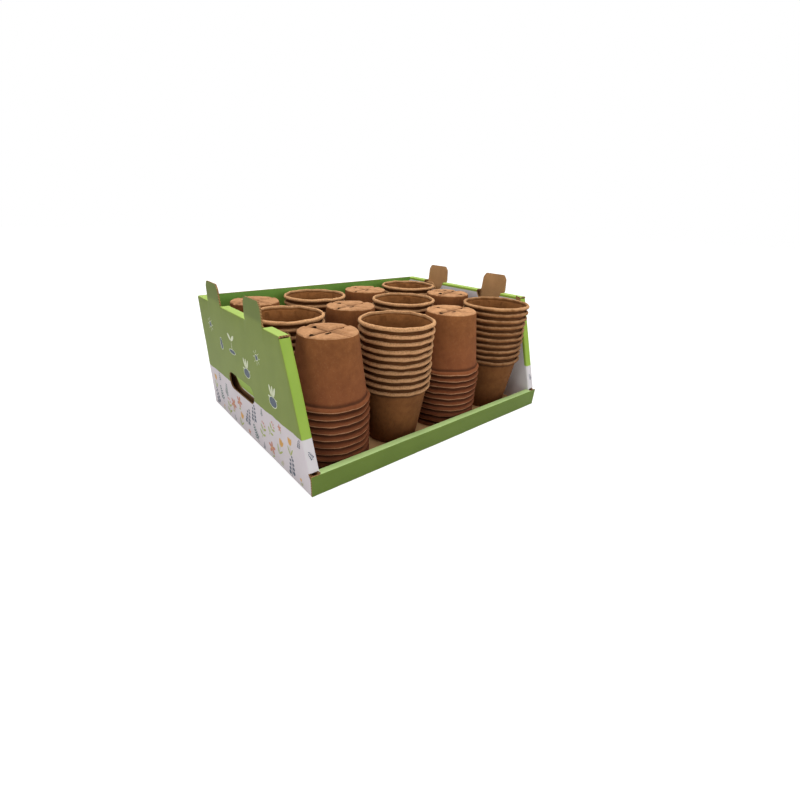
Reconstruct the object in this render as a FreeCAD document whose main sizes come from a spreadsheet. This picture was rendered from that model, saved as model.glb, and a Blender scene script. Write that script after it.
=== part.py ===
"""Moulded-fibre pots nested in stacks in a folded cardboard display tray.

Millimetres. The origin is the middle of the tray's footprint, on the surface that it
stands on. +X runs along the front lip to the right, +Y to the back panel, +Z up.
"""
import FreeCAD, Part
import math
import os
import re
import Sketcher

doc = FreeCAD.newDocument("pots_in_tray")
sheet = doc.addObject("Spreadsheet::Sheet", "sizes")

# Each size that can be set by itself, in millimetres, with the shares and the counts
DRIVING_SIZES = {
    # pot
    "pot_height": 75.0,
    "rim_radius": 45.5,
    "rim_height": 5.2,
    "rim_overhang": 3.9,
    "rim_inner_round": 1.2,
    "wall_slope_share": 0.1404011461318052,
    "pot_wall": 0.88,
    "pot_floor": 2.4,
    "foot_round": 2.5,
    "floor_round": 2.2,
    # drainage in the pot's base
    "valley_width": 5.0,
    "valley_depth": 1.0,
    "round_hole_radius": 2.1,
    "round_hole_from_axis": 21.5,
    "slot_hole_length": 5.4,
    "slot_hole_width": 2.0,
    "corner_slot_offset": 9.5,
    "side_slot_along": 15.0,
    "side_slot_across": 5.2,
    # stacks
    "stack_columns": 4,
    "stack_rows": 3,
    "pots_per_stack": 10,
    "nest_gap": 0.29,
    "rim_gap": 0.6,
    "column_gap": 2.75,
    "row_gap": 1.33,
    # tray
    "board_thickness": 3.0,
    "side_wall_thickness": 12.5,
    "head_room": 4.0,
    "lip_height": 24.4,
    "lip_thickness": 10.0,
    "front_setback": 48.0,
    "slant_foot_height": 20.0,
    "strip_slit": 1.2,
    "tab_width": 45.0,
    "tab_height": 25.0,
    "tab_taper": 1.5,
    "tab_corner_width": 6.0,
    "tab_corner_height": 6.0,
    "front_tab_share": 0.3655298458567537,
    "rear_tab_share": 0.2206972654229456,
    "hand_hole_length": 78.0,
    "hand_hole_height": 20.0,
    "hand_hole_from_back": 122.0,
    "hand_hole_above_foot": 64.5,
    "rear_flap_length": 60.0,
    "front_flap_length": 40.0,
    "flap_corner": 8.0,
    "flap_clearance": 0.5,
    "lock_tab_length": 40.0,
    "lock_clearance": 0.3,
    "side_lock_offset": 70.0,
    "lip_lock_offset": 110.0,
}

# What follows from the driving sizes. The tray is sized by the stacks that it holds
DERIVED_SIZES = {
    "neck_radius": "rim_radius - rim_overhang",
    "neck_height": "pot_height - rim_height",
    "base_radius": "neck_radius - wall_slope_share * neck_height",
    "slope_factor": "sqrt(1 + wall_slope_share * wall_slope_share)",
    "nest_pitch": "max((pot_wall + nest_gap) / wall_slope_share; rim_height + rim_gap)",
    "stack_height": "pot_height + (pots_per_stack - 1) * nest_pitch",
    "mouth_radius": "base_radius + wall_slope_share * pot_height - pot_wall",
    "hollow_radius": "base_radius + wall_slope_share * pot_floor - pot_wall",
    "bead_radius": "rim_height / 2",
    "foot_centre": "base_radius + foot_round * (wall_slope_share - slope_factor)",
    "column_pitch": "2 * rim_radius + column_gap",
    "row_pitch": "2 * rim_radius + row_gap",
    "inner_width": "stack_columns * column_pitch",
    "inner_depth": "stack_rows * row_pitch",
    "half_width": "inner_width / 2 + side_wall_thickness",
    "half_depth": "(inner_depth + lip_thickness + board_thickness) / 2",
    "wall_height": "board_thickness + stack_height + head_room",
    "panel_front": "board_thickness - half_depth",
    "panel_back": "half_depth - board_thickness",
    "slant_top": "front_setback - half_depth",
    "front_slope": "(front_setback - board_thickness) / (wall_height - slant_foot_height)",
    "slant_step": "board_thickness * sqrt(1 + front_slope * front_slope)",
    "inner_slant_foot": "slant_foot_height - slant_step / front_slope",
    "inner_slant_top": "slant_top + slant_step - front_slope * board_thickness",
    "front_tab_middle": "(2 * front_tab_share - 1) * half_depth",
    "rear_tab_middle": "(1 - 2 * rear_tab_share) * half_depth",
    "hand_hole_middle": "half_depth - hand_hole_from_back",
    "inner_panel_face": "inner_width / 2",
    "lip_inner_face": "lip_thickness - half_depth",
}


def fill_sheet():
    """Write every size to the sheet, each in a cell whose alias is its name."""
    row = 1
    for name, size in DRIVING_SIZES.items():
        sheet.set("A" + str(row), name)
        sheet.set("B" + str(row), str(size))
        sheet.setAlias("B" + str(row), name)
        row += 1
    for name, formula in DERIVED_SIZES.items():
        sheet.set("A" + str(row), name)
        sheet.set("B" + str(row), "=" + formula)
        sheet.setAlias("B" + str(row), name)
        row += 1
    doc.recompute()


def value(expression):
    """The number that an expression in the sheet's names comes to."""
    return float(sheet.evalExpression(expression))


def bound(expression):
    """The same expression as an object outside the sheet writes it."""
    return re.sub(r"[a-z]+(_[a-z]+)+", r"sizes.\g<0>", expression)


def origin_feature(body, role):
    """One of a body's own origin planes or axes, found by its role."""
    for feature in body.Origin.OriginFeatures:
        if feature.Role == role:
            return feature
    raise LookupError(role)


def new_body(label):
    """An empty body whose label is the node's name."""
    body = doc.addObject("PartDesign::Body", label)
    body.Label = label
    return body


def new_sketch(body, name, plane):
    """An empty sketch on one of the body's own planes."""
    sketch = body.newObject("Sketcher::SketchObject", name)
    sketch.AttachmentSupport = (origin_feature(body, plane), [""])
    sketch.MapMode = "FlatFace"
    return sketch


def tie(sketch, name, constraint, expression):
    """Add a constraint and bind its size to an expression."""
    index = sketch.addConstraint(constraint)
    sketch.renameConstraint(index, name)
    sketch.setExpression("Constraints." + name, bound(expression))


def fix_point(sketch, name, element, end, across, along):
    """Hold a point of a sketch at two expressions, or on an axis where one is zero."""
    if across == "0":
        sketch.addConstraint(Sketcher.Constraint("PointOnObject", element, end, -2))
    else:
        distance = Sketcher.Constraint("DistanceX", -1, 1, element, end, value(across))
        tie(sketch, name + "_across", distance, across)
    if along == "0":
        sketch.addConstraint(Sketcher.Constraint("PointOnObject", element, end, -1))
    else:
        distance = Sketcher.Constraint("DistanceY", -1, 1, element, end, value(along))
        tie(sketch, name + "_along", distance, along)


def add_outline(sketch, name, corners):
    """Draw a closed outline.

    A corner is (across, along), or (across, along, radius) where the edge to the next
    corner is an arc of that radius that bulges to the right of the way round.
    """
    first = sketch.GeometryCount
    count = len(corners)
    points = [FreeCAD.Vector(value(corner[0]), value(corner[1]), 0) for corner in corners]
    for index, corner in enumerate(corners):
        start = points[index]
        end = points[(index + 1) % count]
        if len(corner) == 3:
            half_chord = (end - start) * 0.5
            radius = value(corner[2])
            depth = radius - math.sqrt(max(0, radius ** 2 - half_chord.Length ** 2))
            outward = FreeCAD.Vector(half_chord.y, -half_chord.x, 0).normalize()
            middle = start + half_chord + outward * depth
            sketch.addGeometry(Part.Arc(start, middle, end), False)
        else:
            sketch.addGeometry(Part.LineSegment(start, end), False)
    for index, corner in enumerate(corners):
        this = first + index
        following = first + (index + 1) % count
        sketch.addConstraint(Sketcher.Constraint("Coincident", this, 2, following, 1))
        fix_point(sketch, f"{name}_{index}", this, 1, corner[0], corner[1])
        if len(corner) == 3:
            radius = Sketcher.Constraint("Radius", this, value(corner[2]))
            tie(sketch, f"{name}_{index}_radius", radius, corner[2])


def add_slot(sketch, name, across, along, length, width):
    """Draw a slot with round ends, its long side along the sketch's first axis."""
    reach = f"(({length}) / 2 - ({width}) / 2)"
    radius = f"({width}) / 2"
    first = sketch.GeometryCount
    middle_along = value(along)
    for index, side in enumerate((1, -1)):
        centre = FreeCAD.Vector(value(across) + side * value(reach), middle_along, 0)
        circle = Part.Circle(centre, FreeCAD.Vector(0, 0, 1), value(radius))
        start = -math.pi / 2 + index * math.pi
        arc = Part.ArcOfCircle(circle, start, start + math.pi)
        sketch.addGeometry(arc, False)
    for index in (0, 1):
        start = sketch.getPoint(first + index, 2)
        end = sketch.getPoint(first + 1 - index, 1)
        sketch.addGeometry(Part.LineSegment(start, end), False)
    for index, sign in enumerate(("+", "-")):
        arc = first + index
        line = first + 2 + index
        next_arc = first + 1 - index
        sketch.addConstraint(Sketcher.Constraint("Tangent", arc, 2, line, 1))
        sketch.addConstraint(Sketcher.Constraint("Tangent", line, 2, next_arc, 1))
        fix_point(sketch, f"{name}_{index}", arc, 3, f"{across} {sign} {reach}", along)
    tie(sketch, name + "_radius", Sketcher.Constraint("Radius", first, value(radius)), radius)


def place(piece, across=None, deep=None, high=None):
    """Bind a piece's place to expressions."""
    for axis, expression in (("x", across), ("y", deep), ("z", high)):
        if expression is not None:
            piece.setExpression("Placement.Base." + axis, bound(expression))


def plate(label, plane, outlines, low, thickness="board_thickness"):
    """A flat panel: closed outlines on a plane, padded by the board's thickness.

    low is where the panel's lower face stands on the axis across the plane.
    """
    body = new_body(label)
    sketch = new_sketch(body, label + "_outline", plane)
    for index, outline in enumerate(outlines):
        add_outline(sketch, "edge_" + "abcdefghij"[index], outline)
    pad = body.newObject("PartDesign::Pad", label + "_pad")
    pad.Profile = sketch
    pad.setExpression("Length", bound(thickness))
    pad.Reversed = plane == "XZ_Plane"
    body.Tip = pad
    if plane == "YZ_Plane":
        place(body, across=low)
    elif plane == "XZ_Plane":
        place(body, deep=low)
    else:
        place(body, high=low)
    return body


def block(label, low, high):
    """A strip of board between two corners, each three expressions."""
    box = doc.addObject("Part::Box", label)
    box.Label = label
    for side, start, end in zip(("Length", "Width", "Height"), low, high):
        box.setExpression(side, bound(f"({end}) - ({start})"))
    place(box, *low)
    return box


def rectangle(left, front, right, back):
    """The corners of a rectangle."""
    return [(left, front), (right, front), (right, back), (left, back)]


def cut_hand_hole(body):
    """Cut the hand hole through a side panel."""
    sketch = new_sketch(body, body.Label + "_hand_hole", "YZ_Plane")
    add_slot(sketch, "hole", "hand_hole_middle", "hand_hole_above_foot",
             "hand_hole_length", "hand_hole_height")
    pocket = body.newObject("PartDesign::Pocket", body.Label + "_hand_hole_cut")
    pocket.Profile = sketch
    pocket.Type = "ThroughAll"
    pocket.Reversed = True
    body.Tip = pocket


def stacking_tab(middle):
    """The corners of a stacking tab on a wall's top edge, from back to front."""
    top = "wall_height + tab_height"
    shoulder = top + " - tab_corner_height"
    return [
        (f"{middle} + tab_width / 2", "wall_height"),
        (f"{middle} + tab_width / 2 - tab_taper", shoulder),
        (f"{middle} + tab_width / 2 - tab_corner_width", top),
        (f"{middle} - tab_width / 2 + tab_corner_width", top),
        (f"{middle} - tab_width / 2 + tab_taper", shoulder),
        (f"{middle} - tab_width / 2", "wall_height"),
    ]


def lock_tab(middle):
    """The corners of a locking tab below a panel's foot, in the direction of its axis."""
    start = f"{middle} - lock_tab_length / 2"
    end = f"{middle} + lock_tab_length / 2"
    return [(start, "board_thickness"), (start, "0"), (end, "0"), (end, "board_thickness")]


def lock_slot(across, deep, along_side):
    """The corners of a locking slot in the base, round the middle of a panel's foot."""
    half_long = "(lock_tab_length / 2 + lock_clearance)"
    half_wide = "(board_thickness / 2 + lock_clearance)"
    half_across = half_wide if along_side else half_long
    half_deep = half_long if along_side else half_wide
    return rectangle(f"{across} - {half_across}", f"{deep} - {half_deep}",
                     f"{across} + {half_across}", f"{deep} + {half_deep}")


def build_base_and_back():
    """The base with its locking slots, and the back panel."""
    outlines = [rectangle("board_thickness - half_width", "panel_front",
                          "half_width - board_thickness", "panel_back")]
    for side in ("-", ""):
        across = f"{side}(inner_panel_face + board_thickness / 2)"
        for deep in ("-side_lock_offset", "side_lock_offset"):
            outlines.append(lock_slot(across, deep, True))
    for across in ("-lip_lock_offset", "lip_lock_offset"):
        outlines.append(lock_slot(across, "lip_inner_face - board_thickness / 2", False))
    base = plate("base_panel", "XY_Plane", outlines, "0")
    back = block("back_panel",
                 ("board_thickness - half_width", "panel_back", "0"),
                 ("half_width - board_thickness", "half_depth", "wall_height"))
    return [base, back]


def build_side_wall(side, outer_low, cavity_low, flap_low, inner_low):
    """A double side wall: two panels, the strips between them and the corner flaps.

    The lows are where each layer's lower face stands on the X axis.
    """
    outer = plate(side + "_outer_panel", "YZ_Plane", [[
        ("panel_front", "0"),
        ("half_depth", "0"),
        ("half_depth", "wall_height"),
        *stacking_tab("rear_tab_middle"),
        *stacking_tab("front_tab_middle"),
        ("slant_top", "wall_height"),
        ("panel_front", "slant_foot_height"),
    ]], outer_low)
    inner = plate(side + "_inner_panel", "YZ_Plane", [[
        ("panel_front", "board_thickness"),
        *lock_tab("-side_lock_offset"),
        *lock_tab("side_lock_offset"),
        ("panel_back", "board_thickness"),
        ("panel_back", "wall_height - board_thickness"),
        ("inner_slant_top", "wall_height - board_thickness"),
        ("panel_front", "inner_slant_foot"),
    ]], inner_low)
    cut_hand_hole(outer)
    cut_hand_hole(inner)
    strip_width = "side_wall_thickness - board_thickness"
    slit_drop = "front_slope * strip_slit"
    front_edge = plate(side + "_front_edge_strip", "YZ_Plane", [[
        ("panel_front", "inner_slant_foot"),
        (f"slant_top + slant_step - {slit_drop}", "wall_height - strip_slit"),
        (f"slant_top - {slit_drop}", "wall_height - strip_slit"),
        ("panel_front", "slant_foot_height"),
    ]], cavity_low, strip_width)
    rear_flap = plate(side + "_rear_corner_flap", "YZ_Plane", [[
        ("panel_back - rear_flap_length", "board_thickness + flap_corner"),
        ("panel_back - rear_flap_length + flap_corner", "board_thickness"),
        ("panel_back", "board_thickness"),
        ("panel_back", "wall_height - board_thickness - flap_clearance"),
        ("panel_back - rear_flap_length + flap_corner",
         "wall_height - board_thickness - flap_clearance"),
        ("panel_back - rear_flap_length",
         "wall_height - board_thickness - flap_clearance - flap_corner"),
    ]], flap_low)
    flap_top = "lip_height - board_thickness"
    front_flap = plate(side + "_front_corner_flap", "YZ_Plane", [[
        ("panel_front", "board_thickness"),
        ("panel_front + front_flap_length", "board_thickness"),
        ("panel_front + front_flap_length", f"{flap_top} - flap_corner"),
        ("panel_front + front_flap_length - flap_corner", flap_top),
        (f"panel_front + flap_clearance + front_slope * ({flap_top} - inner_slant_foot)",
         flap_top),
        ("panel_front + flap_clearance", "inner_slant_foot"),
        ("panel_front", "inner_slant_foot - flap_clearance"),
    ]], flap_low)
    strips = []
    ends = {
        "front": ("slant_top + slant_step", "front_tab_middle - tab_width / 2"),
        "middle": ("front_tab_middle + tab_width / 2", "rear_tab_middle - tab_width / 2"),
        "rear": ("rear_tab_middle + tab_width / 2", "panel_back"),
    }
    for name, (start, end) in ends.items():
        strips.append(block(f"{side}_{name}_top_strip",
                            (cavity_low, start, "wall_height - board_thickness"),
                            (f"{cavity_low} + {strip_width}", end, "wall_height")))
    return [outer, inner, front_edge, rear_flap, front_flap, *strips]


def build_lip():
    """The low double front wall."""
    outer = block("lip_outer_panel",
                  ("-half_width", "-half_depth", "0"),
                  ("half_width", "panel_front", "lip_height"))
    top = block("lip_top_strip",
                ("-inner_panel_face", "panel_front", "lip_height - board_thickness"),
                ("inner_panel_face", "lip_inner_face", "lip_height"))
    inner = plate("lip_inner_panel", "XZ_Plane", [[
        ("-inner_panel_face", "board_thickness"),
        *lock_tab("-lip_lock_offset"),
        *lock_tab("lip_lock_offset"),
        ("inner_panel_face", "board_thickness"),
        ("inner_panel_face", "lip_height - board_thickness"),
        ("-inner_panel_face", "lip_height - board_thickness"),
    ]], "lip_inner_face - board_thickness")
    return [outer, top, inner]


def revolve(body, sketch):
    """Turn a half profile into a solid round the body's upright axis."""
    revolution = body.newObject("PartDesign::Revolution", body.Label + "_turned")
    revolution.Profile = sketch
    revolution.ReferenceAxis = (origin_feature(body, "Z_Axis"), [""])
    revolution.Angle = 360
    body.Tip = revolution
    return revolution


def pocket_up(body, sketch, name, depth=None):
    """Cut a sketch on the base's underside upwards, right through where no depth is given."""
    pocket = body.newObject("PartDesign::Pocket", name)
    pocket.Profile = sketch
    pocket.Reversed = True
    if depth is None:
        pocket.Type = "ThroughAll"
    else:
        pocket.setExpression("Length", bound(depth))
    body.Tip = pocket
    return pocket


def build_top_pot(label):
    """A pot with its rolled rim, rounded foot, drain valleys and drain holes.

    It stands on its own origin with its mouth up.
    """
    body = new_body(label)
    profile = new_sketch(body, label + "_profile", "XZ_Plane")
    add_outline(profile, "wall", [
        ("0", "0"),
        ("foot_centre", "0", "foot_round"),
        ("foot_centre + foot_round / slope_factor",
         "foot_round * (1 - wall_slope_share / slope_factor)"),
        ("neck_radius", "neck_height"),
        ("rim_radius - bead_radius", "neck_height", "bead_radius"),
        ("rim_radius", "neck_height + bead_radius", "bead_radius"),
        ("rim_radius - bead_radius", "pot_height"),
        ("mouth_radius + rim_inner_round", "pot_height", "rim_inner_round"),
        ("mouth_radius - wall_slope_share * rim_inner_round", "pot_height - rim_inner_round"),
        ("hollow_radius + wall_slope_share * floor_round", "pot_floor + floor_round"),
        ("hollow_radius - floor_round", "pot_floor"),
        ("0", "pot_floor"),
    ])
    revolve(body, profile)

    valley = new_sketch(body, label + "_valley", "XY_Plane")
    add_outline(valley, "arm", rectangle("-valley_width / 2", "-valley_width / 2",
                                         "rim_radius", "valley_width / 2"))
    arm = pocket_up(body, valley, label + "_valley_cut", "valley_depth")
    arms = body.newObject("PartDesign::PolarPattern", label + "_valleys")
    arms.Originals = [arm]
    arms.Axis = (origin_feature(body, "Z_Axis"), [""])
    arms.Angle = 360
    arms.Occurrences = 4
    body.Tip = arms

    holes = new_sketch(body, label + "_drain_holes", "XY_Plane")
    for name, across, along in (("front", "0", "-round_hole_from_axis"),
                                ("left", "-round_hole_from_axis", "0")):
        centre = FreeCAD.Vector(value(across), value(along), 0)
        radius = value("round_hole_radius")
        index = holes.addGeometry(Part.Circle(centre, FreeCAD.Vector(0, 0, 1), radius), False)
        fix_point(holes, name, index, 3, across, along)
        tie(holes, name + "_radius", Sketcher.Constraint("Radius", index, radius),
            "round_hole_radius")
    for name, across, along in (("corner", "-corner_slot_offset", "corner_slot_offset"),
                                ("side", "side_slot_along", "side_slot_across")):
        add_slot(holes, name, across, along, "slot_hole_length", "slot_hole_width")
    pocket_up(body, holes, label + "_drain_hole_cut")
    return body


def build_nested_pots(label):
    """The pots nested below the top one: separate solids, one nest pitch apart.

    The first stands on the body's origin with its mouth up.
    """
    body = new_body(label)
    body.AllowCompound = True
    profile = new_sketch(body, label + "_profile", "XZ_Plane")
    add_outline(profile, "wall", [
        ("0", "0"),
        ("base_radius", "0"),
        ("neck_radius", "neck_height"),
        ("rim_radius", "neck_height + bead_radius / 2"),
        ("rim_radius", "pot_height - bead_radius / 2"),
        ("mouth_radius", "pot_height"),
        ("hollow_radius", "pot_floor"),
        ("0", "pot_floor"),
    ])
    turned = revolve(body, profile)
    nest = body.newObject("PartDesign::LinearPattern", label + "_nest")
    nest.Originals = [turned]
    nest.Direction = (origin_feature(body, "Z_Axis"), [""])
    nest.setExpression("Length", bound("(pots_per_stack - 2) * nest_pitch"))
    nest.setExpression("Occurrences", bound("pots_per_stack - 1"))
    body.Tip = nest
    return body


def build_stack(row_name, row, column):
    """A stack of nested pots and the pot on top of it.

    Stacks stand mouth up and mouth down by turns, so that each stands beside its opposite.
    """
    name = f"{row_name}_{column + 1}"
    upright = (row + column) % 2 == 1
    across = f"({column} - (stack_columns - 1) / 2) * column_pitch"
    deep = f"lip_inner_face + ({row} + 1 / 2) * row_pitch"
    top_pot = build_top_pot("top_pot_" + name)
    nested = build_nested_pots("nested_pots_" + name)
    # quarter turns, and a little more each stack, spread the drain holes as hands would
    turn = 15 + 90 * (row + 2 * column) + 7 * column
    about = FreeCAD.Rotation(FreeCAD.Vector(0, 0, 1), turn)
    if upright:
        foot = {"nested": "board_thickness",
                "top": "board_thickness + (pots_per_stack - 1) * nest_pitch"}
    else:
        about = about * FreeCAD.Rotation(FreeCAD.Vector(1, 0, 0), 180)
        foot = {"nested": "board_thickness + pot_height + (pots_per_stack - 2) * nest_pitch",
                "top": "board_thickness + stack_height"}
    for piece, key in ((top_pot, "top"), (nested, "nested")):
        piece.Placement = FreeCAD.Placement(FreeCAD.Vector(0, 0, 0), about)
        place(piece, across, deep, foot[key])
    return [top_pot, nested]


def check(pieces):
    """Stop with a message where an object failed or a piece has no good shape."""
    for thing in doc.Objects:
        if "Invalid" in thing.State or "Error" in thing.State:
            raise RuntimeError(f"{thing.Label} is {thing.State}")
    for piece in pieces:
        if piece.Shape.isNull() or not piece.Shape.isValid() or not piece.Shape.Solids:
            raise RuntimeError(f"{piece.Label} has no valid shape")


def main():
    """Build the tray and its stacks, check them and write one file a piece."""
    fill_sheet()
    pieces = build_base_and_back()
    pieces += build_side_wall("left", "-half_width", "board_thickness - half_width",
                              "board_thickness - half_width",
                              "-inner_panel_face - board_thickness")
    pieces += build_side_wall("right", "half_width - board_thickness", "inner_panel_face",
                              "half_width - 2 * board_thickness", "inner_panel_face")
    pieces += build_lip()
    for row, row_name in enumerate(("front", "middle", "back")):
        for column in range(int(value("stack_columns"))):
            pieces += build_stack(row_name, row, column)
    doc.recompute()
    check(pieces)
    os.makedirs("parts", exist_ok=True)
    for piece in pieces:
        piece.Shape.exportStep(f"parts/{piece.Label}.step")
        print(piece.Label, len(piece.Shape.Solids), "solid(s)",
              round(piece.Shape.Volume), "mm3")


main()
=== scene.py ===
"""Looks of moulded-fibre pots nested in stacks in a folded cardboard display tray.

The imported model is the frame. The tray's walls are modelled as bent sheets of board, and the
pots as moulded shells with rolled rims, in metres, where the frame has their nodes.
"""

import logging
import math
import random
from dataclasses import dataclass, field, fields
from enum import Enum, IntEnum
from typing import Callable, Iterable, Optional, Sequence, Union

import bmesh
import bpy
from mathutils import Matrix, Vector

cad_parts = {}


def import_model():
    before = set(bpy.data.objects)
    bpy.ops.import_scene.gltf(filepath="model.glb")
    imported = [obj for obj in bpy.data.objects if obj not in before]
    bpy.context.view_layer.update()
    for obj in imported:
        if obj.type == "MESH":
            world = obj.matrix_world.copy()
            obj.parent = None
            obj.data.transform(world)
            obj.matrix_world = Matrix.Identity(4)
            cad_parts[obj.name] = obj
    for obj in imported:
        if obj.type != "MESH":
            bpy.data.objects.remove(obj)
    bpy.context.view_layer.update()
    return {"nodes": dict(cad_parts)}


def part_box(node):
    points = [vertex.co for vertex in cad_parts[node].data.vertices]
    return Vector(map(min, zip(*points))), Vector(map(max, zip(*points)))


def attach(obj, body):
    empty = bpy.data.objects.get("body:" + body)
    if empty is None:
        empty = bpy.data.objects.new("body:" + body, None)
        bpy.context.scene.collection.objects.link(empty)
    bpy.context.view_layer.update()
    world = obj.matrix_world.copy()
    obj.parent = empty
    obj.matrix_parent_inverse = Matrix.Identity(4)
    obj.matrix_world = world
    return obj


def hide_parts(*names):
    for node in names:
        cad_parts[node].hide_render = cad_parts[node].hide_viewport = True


LOG = logging.getLogger("pots_in_tray")
MM = 0.001
X, Y, Z = 0, 1, 2

COLUMNS = 4
NESTED_IN_STACK = 9
STACK_LOOKS = {  # each stack's turn in degrees, tone and dryness, from left to right
    "front": ((15, 1.02, 1.0), (40, 1.0, 1.15), (12, 1.10, 1.0), (75, 0.94, 0.62)),
    "middle": ((60, 1.0, 0.9), (17, 1.04, 1.0), (130, 0.97, 1.0), (195, 1.0, 1.0)),
    "back": ((14, 0.98, 1.0), (100, 1.0, 0.9), (19, 1.03, 1.0), (35, 0.96, 0.8)),
}

PRINT_BORDER = 60 * MM
FLUTE_PITCH = 3.2 * MM
BOARD_WAVER = 1.1 * MM
WRAP_MARGIN = 4 * MM
MERGE_REACH = 0.02 * MM
NEAR_REACH = 0.05 * MM
MIDDLE_REACH = 1e-6
ALONG_Y, ALONG_X = (0.0, 1.0), (1.0, 0.0)
INKS = {"rust_pink": "C58672", "ochre": "D6A255", "teal": "55706C", "leaf_green": "A6B062",
        "slate": "596270", "pale_line": "D9DDC0"}
RUST, OCHRE, TEAL, LEAF, SLATE, PALE = range(len(INKS))

Pair = tuple[float, float]
Triple = tuple[float, float, float]
Colour = Triple
Edge = bmesh.types.BMEdge
Face = bmesh.types.BMFace
Polygon = bpy.types.MeshPolygon
Texture = bpy.types.Texture
Piece = bpy.types.Object
Material = bpy.types.Material
Tree = bpy.types.NodeTree
Socket = bpy.types.NodeSocket
Given = Union[Socket, float, Colour]


class Side(Enum):
    """The two side walls, and the way that each one faces along X."""

    LEFT = -1
    RIGHT = 1

    @property
    def word(self) -> str:
        """The side's name in the names of the frame's nodes."""
        return self.name.lower()


class Slot(Enum):
    """The names of two material slots."""

    PRINT = "printed_board"
    FIBRE = "pot_fibre"


class Layer(IntEnum):
    """A bent sheet's materials. Solidify's offsets of 1 and 2 reach kraft and cut edge."""

    FACE = 0
    KRAFT = 1
    CUT_EDGE = 2
    STRIP = 3
    TOP = 4
    INSIDE = 5


def srgb(code: str) -> Colour:
    """A colour from its six hexadecimal digits, as the linear values that shaders take.

    Args:
        code: Six digits, such as "8DB83E".

    Returns:
        Linear red, green and blue.
    """
    shares = [int(code[i:i + 2], 16) / 255 for i in (0, 2, 4)]
    return tuple(s / 12.92 if s <= 0.04045 else ((s + 0.055) / 1.055) ** 2.4 for s in shares)


def share_of(value: float) -> float:
    """A value kept between 0 and 1."""
    return max(0.0, min(1.0, value))


class Nodes:
    """Builds the nodes of one material, world or node group."""

    def __init__(self, tree: Tree) -> None:
        """Start from an empty tree."""
        self.tree = tree
        tree.nodes.clear()

    def add(self, kind: str, inputs: Optional[dict] = None, **settings) -> bpy.types.Node:
        """Add a node.

        Args:
            kind: The node's type without its "ShaderNode" start, or a whole type name.
            inputs: Input names or numbers, each with a value or a socket to link.
            settings: Attributes of the node.

        Returns:
            The new node.
        """
        node = self.tree.nodes.new(kind if kind.startswith("Node") else "ShaderNode" + kind)
        for name, setting in settings.items():
            setattr(node, name, setting)
        for key, given in (inputs or {}).items():
            socket = node.inputs[key]
            if isinstance(given, Socket):
                self.tree.links.new(given, socket)
            elif isinstance(given, tuple) and len(given) == 3 and socket.type == "RGBA":
                socket.default_value = (*given, 1.0)
            else:
                socket.default_value = given
        return node

    def maths(self, operation: str, *values: Given) -> Socket:
        """Add a Math node and return its output."""
        return self.add("Math", dict(enumerate(values)), operation=operation).outputs[0]

    def times(self, value: Given, factor: Given) -> Socket:
        """Multiply two values."""
        return self.maths("MULTIPLY", value, factor)

    def plus(self, value: Given, more: Given) -> Socket:
        """Add two values."""
        return self.maths("ADD", value, more)

    def minus(self, value: Given, less: Given) -> Socket:
        """Subtract a value from another."""
        return self.maths("SUBTRACT", value, less)

    def mix(self, share: Given, low: Given, high: Given, blend: str = "MIX") -> Socket:
        """Mix two colours by a share and return the result."""
        return self.add("Mix", {0: share, 6: low, 7: high}, data_type="RGBA", blend_type=blend,
                        clamp_factor=True).outputs[2]

    def ramp(self, value: Socket, low: float, high: float, start: float = 0.0,
             end: float = 1.0) -> Socket:
        """Spread a value from low to high smoothly from a start to an end."""
        return self.add("MapRange", {0: value, 1: low, 2: high, 3: start, 4: end},
                        interpolation_type="SMOOTHSTEP").outputs[0]

    def spread(self, value: Socket, start: float, end: float) -> Socket:
        """Spread a value from 0 to 1 evenly from a start to an end."""
        return self.add("MapRange", {0: value, 3: start, 4: end}).outputs[0]

    def noise(self, place: Socket, scale: float, detail: float, roughness: float) -> Socket:
        """A noise texture's value at a place."""
        return self.add("TexNoise", {"Vector": place, "Scale": scale, "Detail": detail,
                                     "Roughness": roughness}).outputs["Fac"]

    def flutes(self, run: Socket) -> Socket:
        """A wave with one period for each flute of the board."""
        return self.maths("SINE", self.times(run, 2 * math.pi / FLUTE_PITCH))


class Finish(Nodes):
    """The nodes of a new material, whose patterns lie on Object coordinates."""

    def __init__(self, name: str) -> None:
        """Start a new material."""
        self.made = bpy.data.materials.new(name)
        self.made.use_nodes = True
        super().__init__(self.made.node_tree)
        self.place = self.add("TexCoord").outputs["Object"]

    def pattern(self, group: Tree, inputs: Optional[dict] = None) -> dict[str, Socket]:
        """Lay a node group's pattern on the piece and return its outputs."""
        return self.add("Group", {"Place": self.place, **(inputs or {})},
                        node_tree=group).outputs

    def surface(self, colour: Socket, roughness: Given, specular: float,
                relief: Optional[tuple[Socket, float, float]] = None) -> Material:
        """Finish the material with a plain shader.

        Args:
            colour: Its colour.
            roughness: Its roughness, one value or a socket.
            specular: Its specular level.
            relief: The height, strength and distance of its bump.

        Returns:
            The material.
        """
        inputs = {"Base Color": colour, "Roughness": roughness, "Specular IOR Level": specular}
        if relief:
            height, strength, distance = relief
            bump = self.add("Bump", {"Strength": strength, "Distance": distance,
                                     "Height": height})
            inputs["Normal"] = bump.outputs[0]
        return self.close(self.add("BsdfPrincipled", inputs))

    def close(self, shader: bpy.types.Node) -> Material:
        """Lead a shader to the material's output and return the material."""
        self.add("OutputMaterial", {"Surface": shader.outputs[0]})
        return self.made


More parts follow.
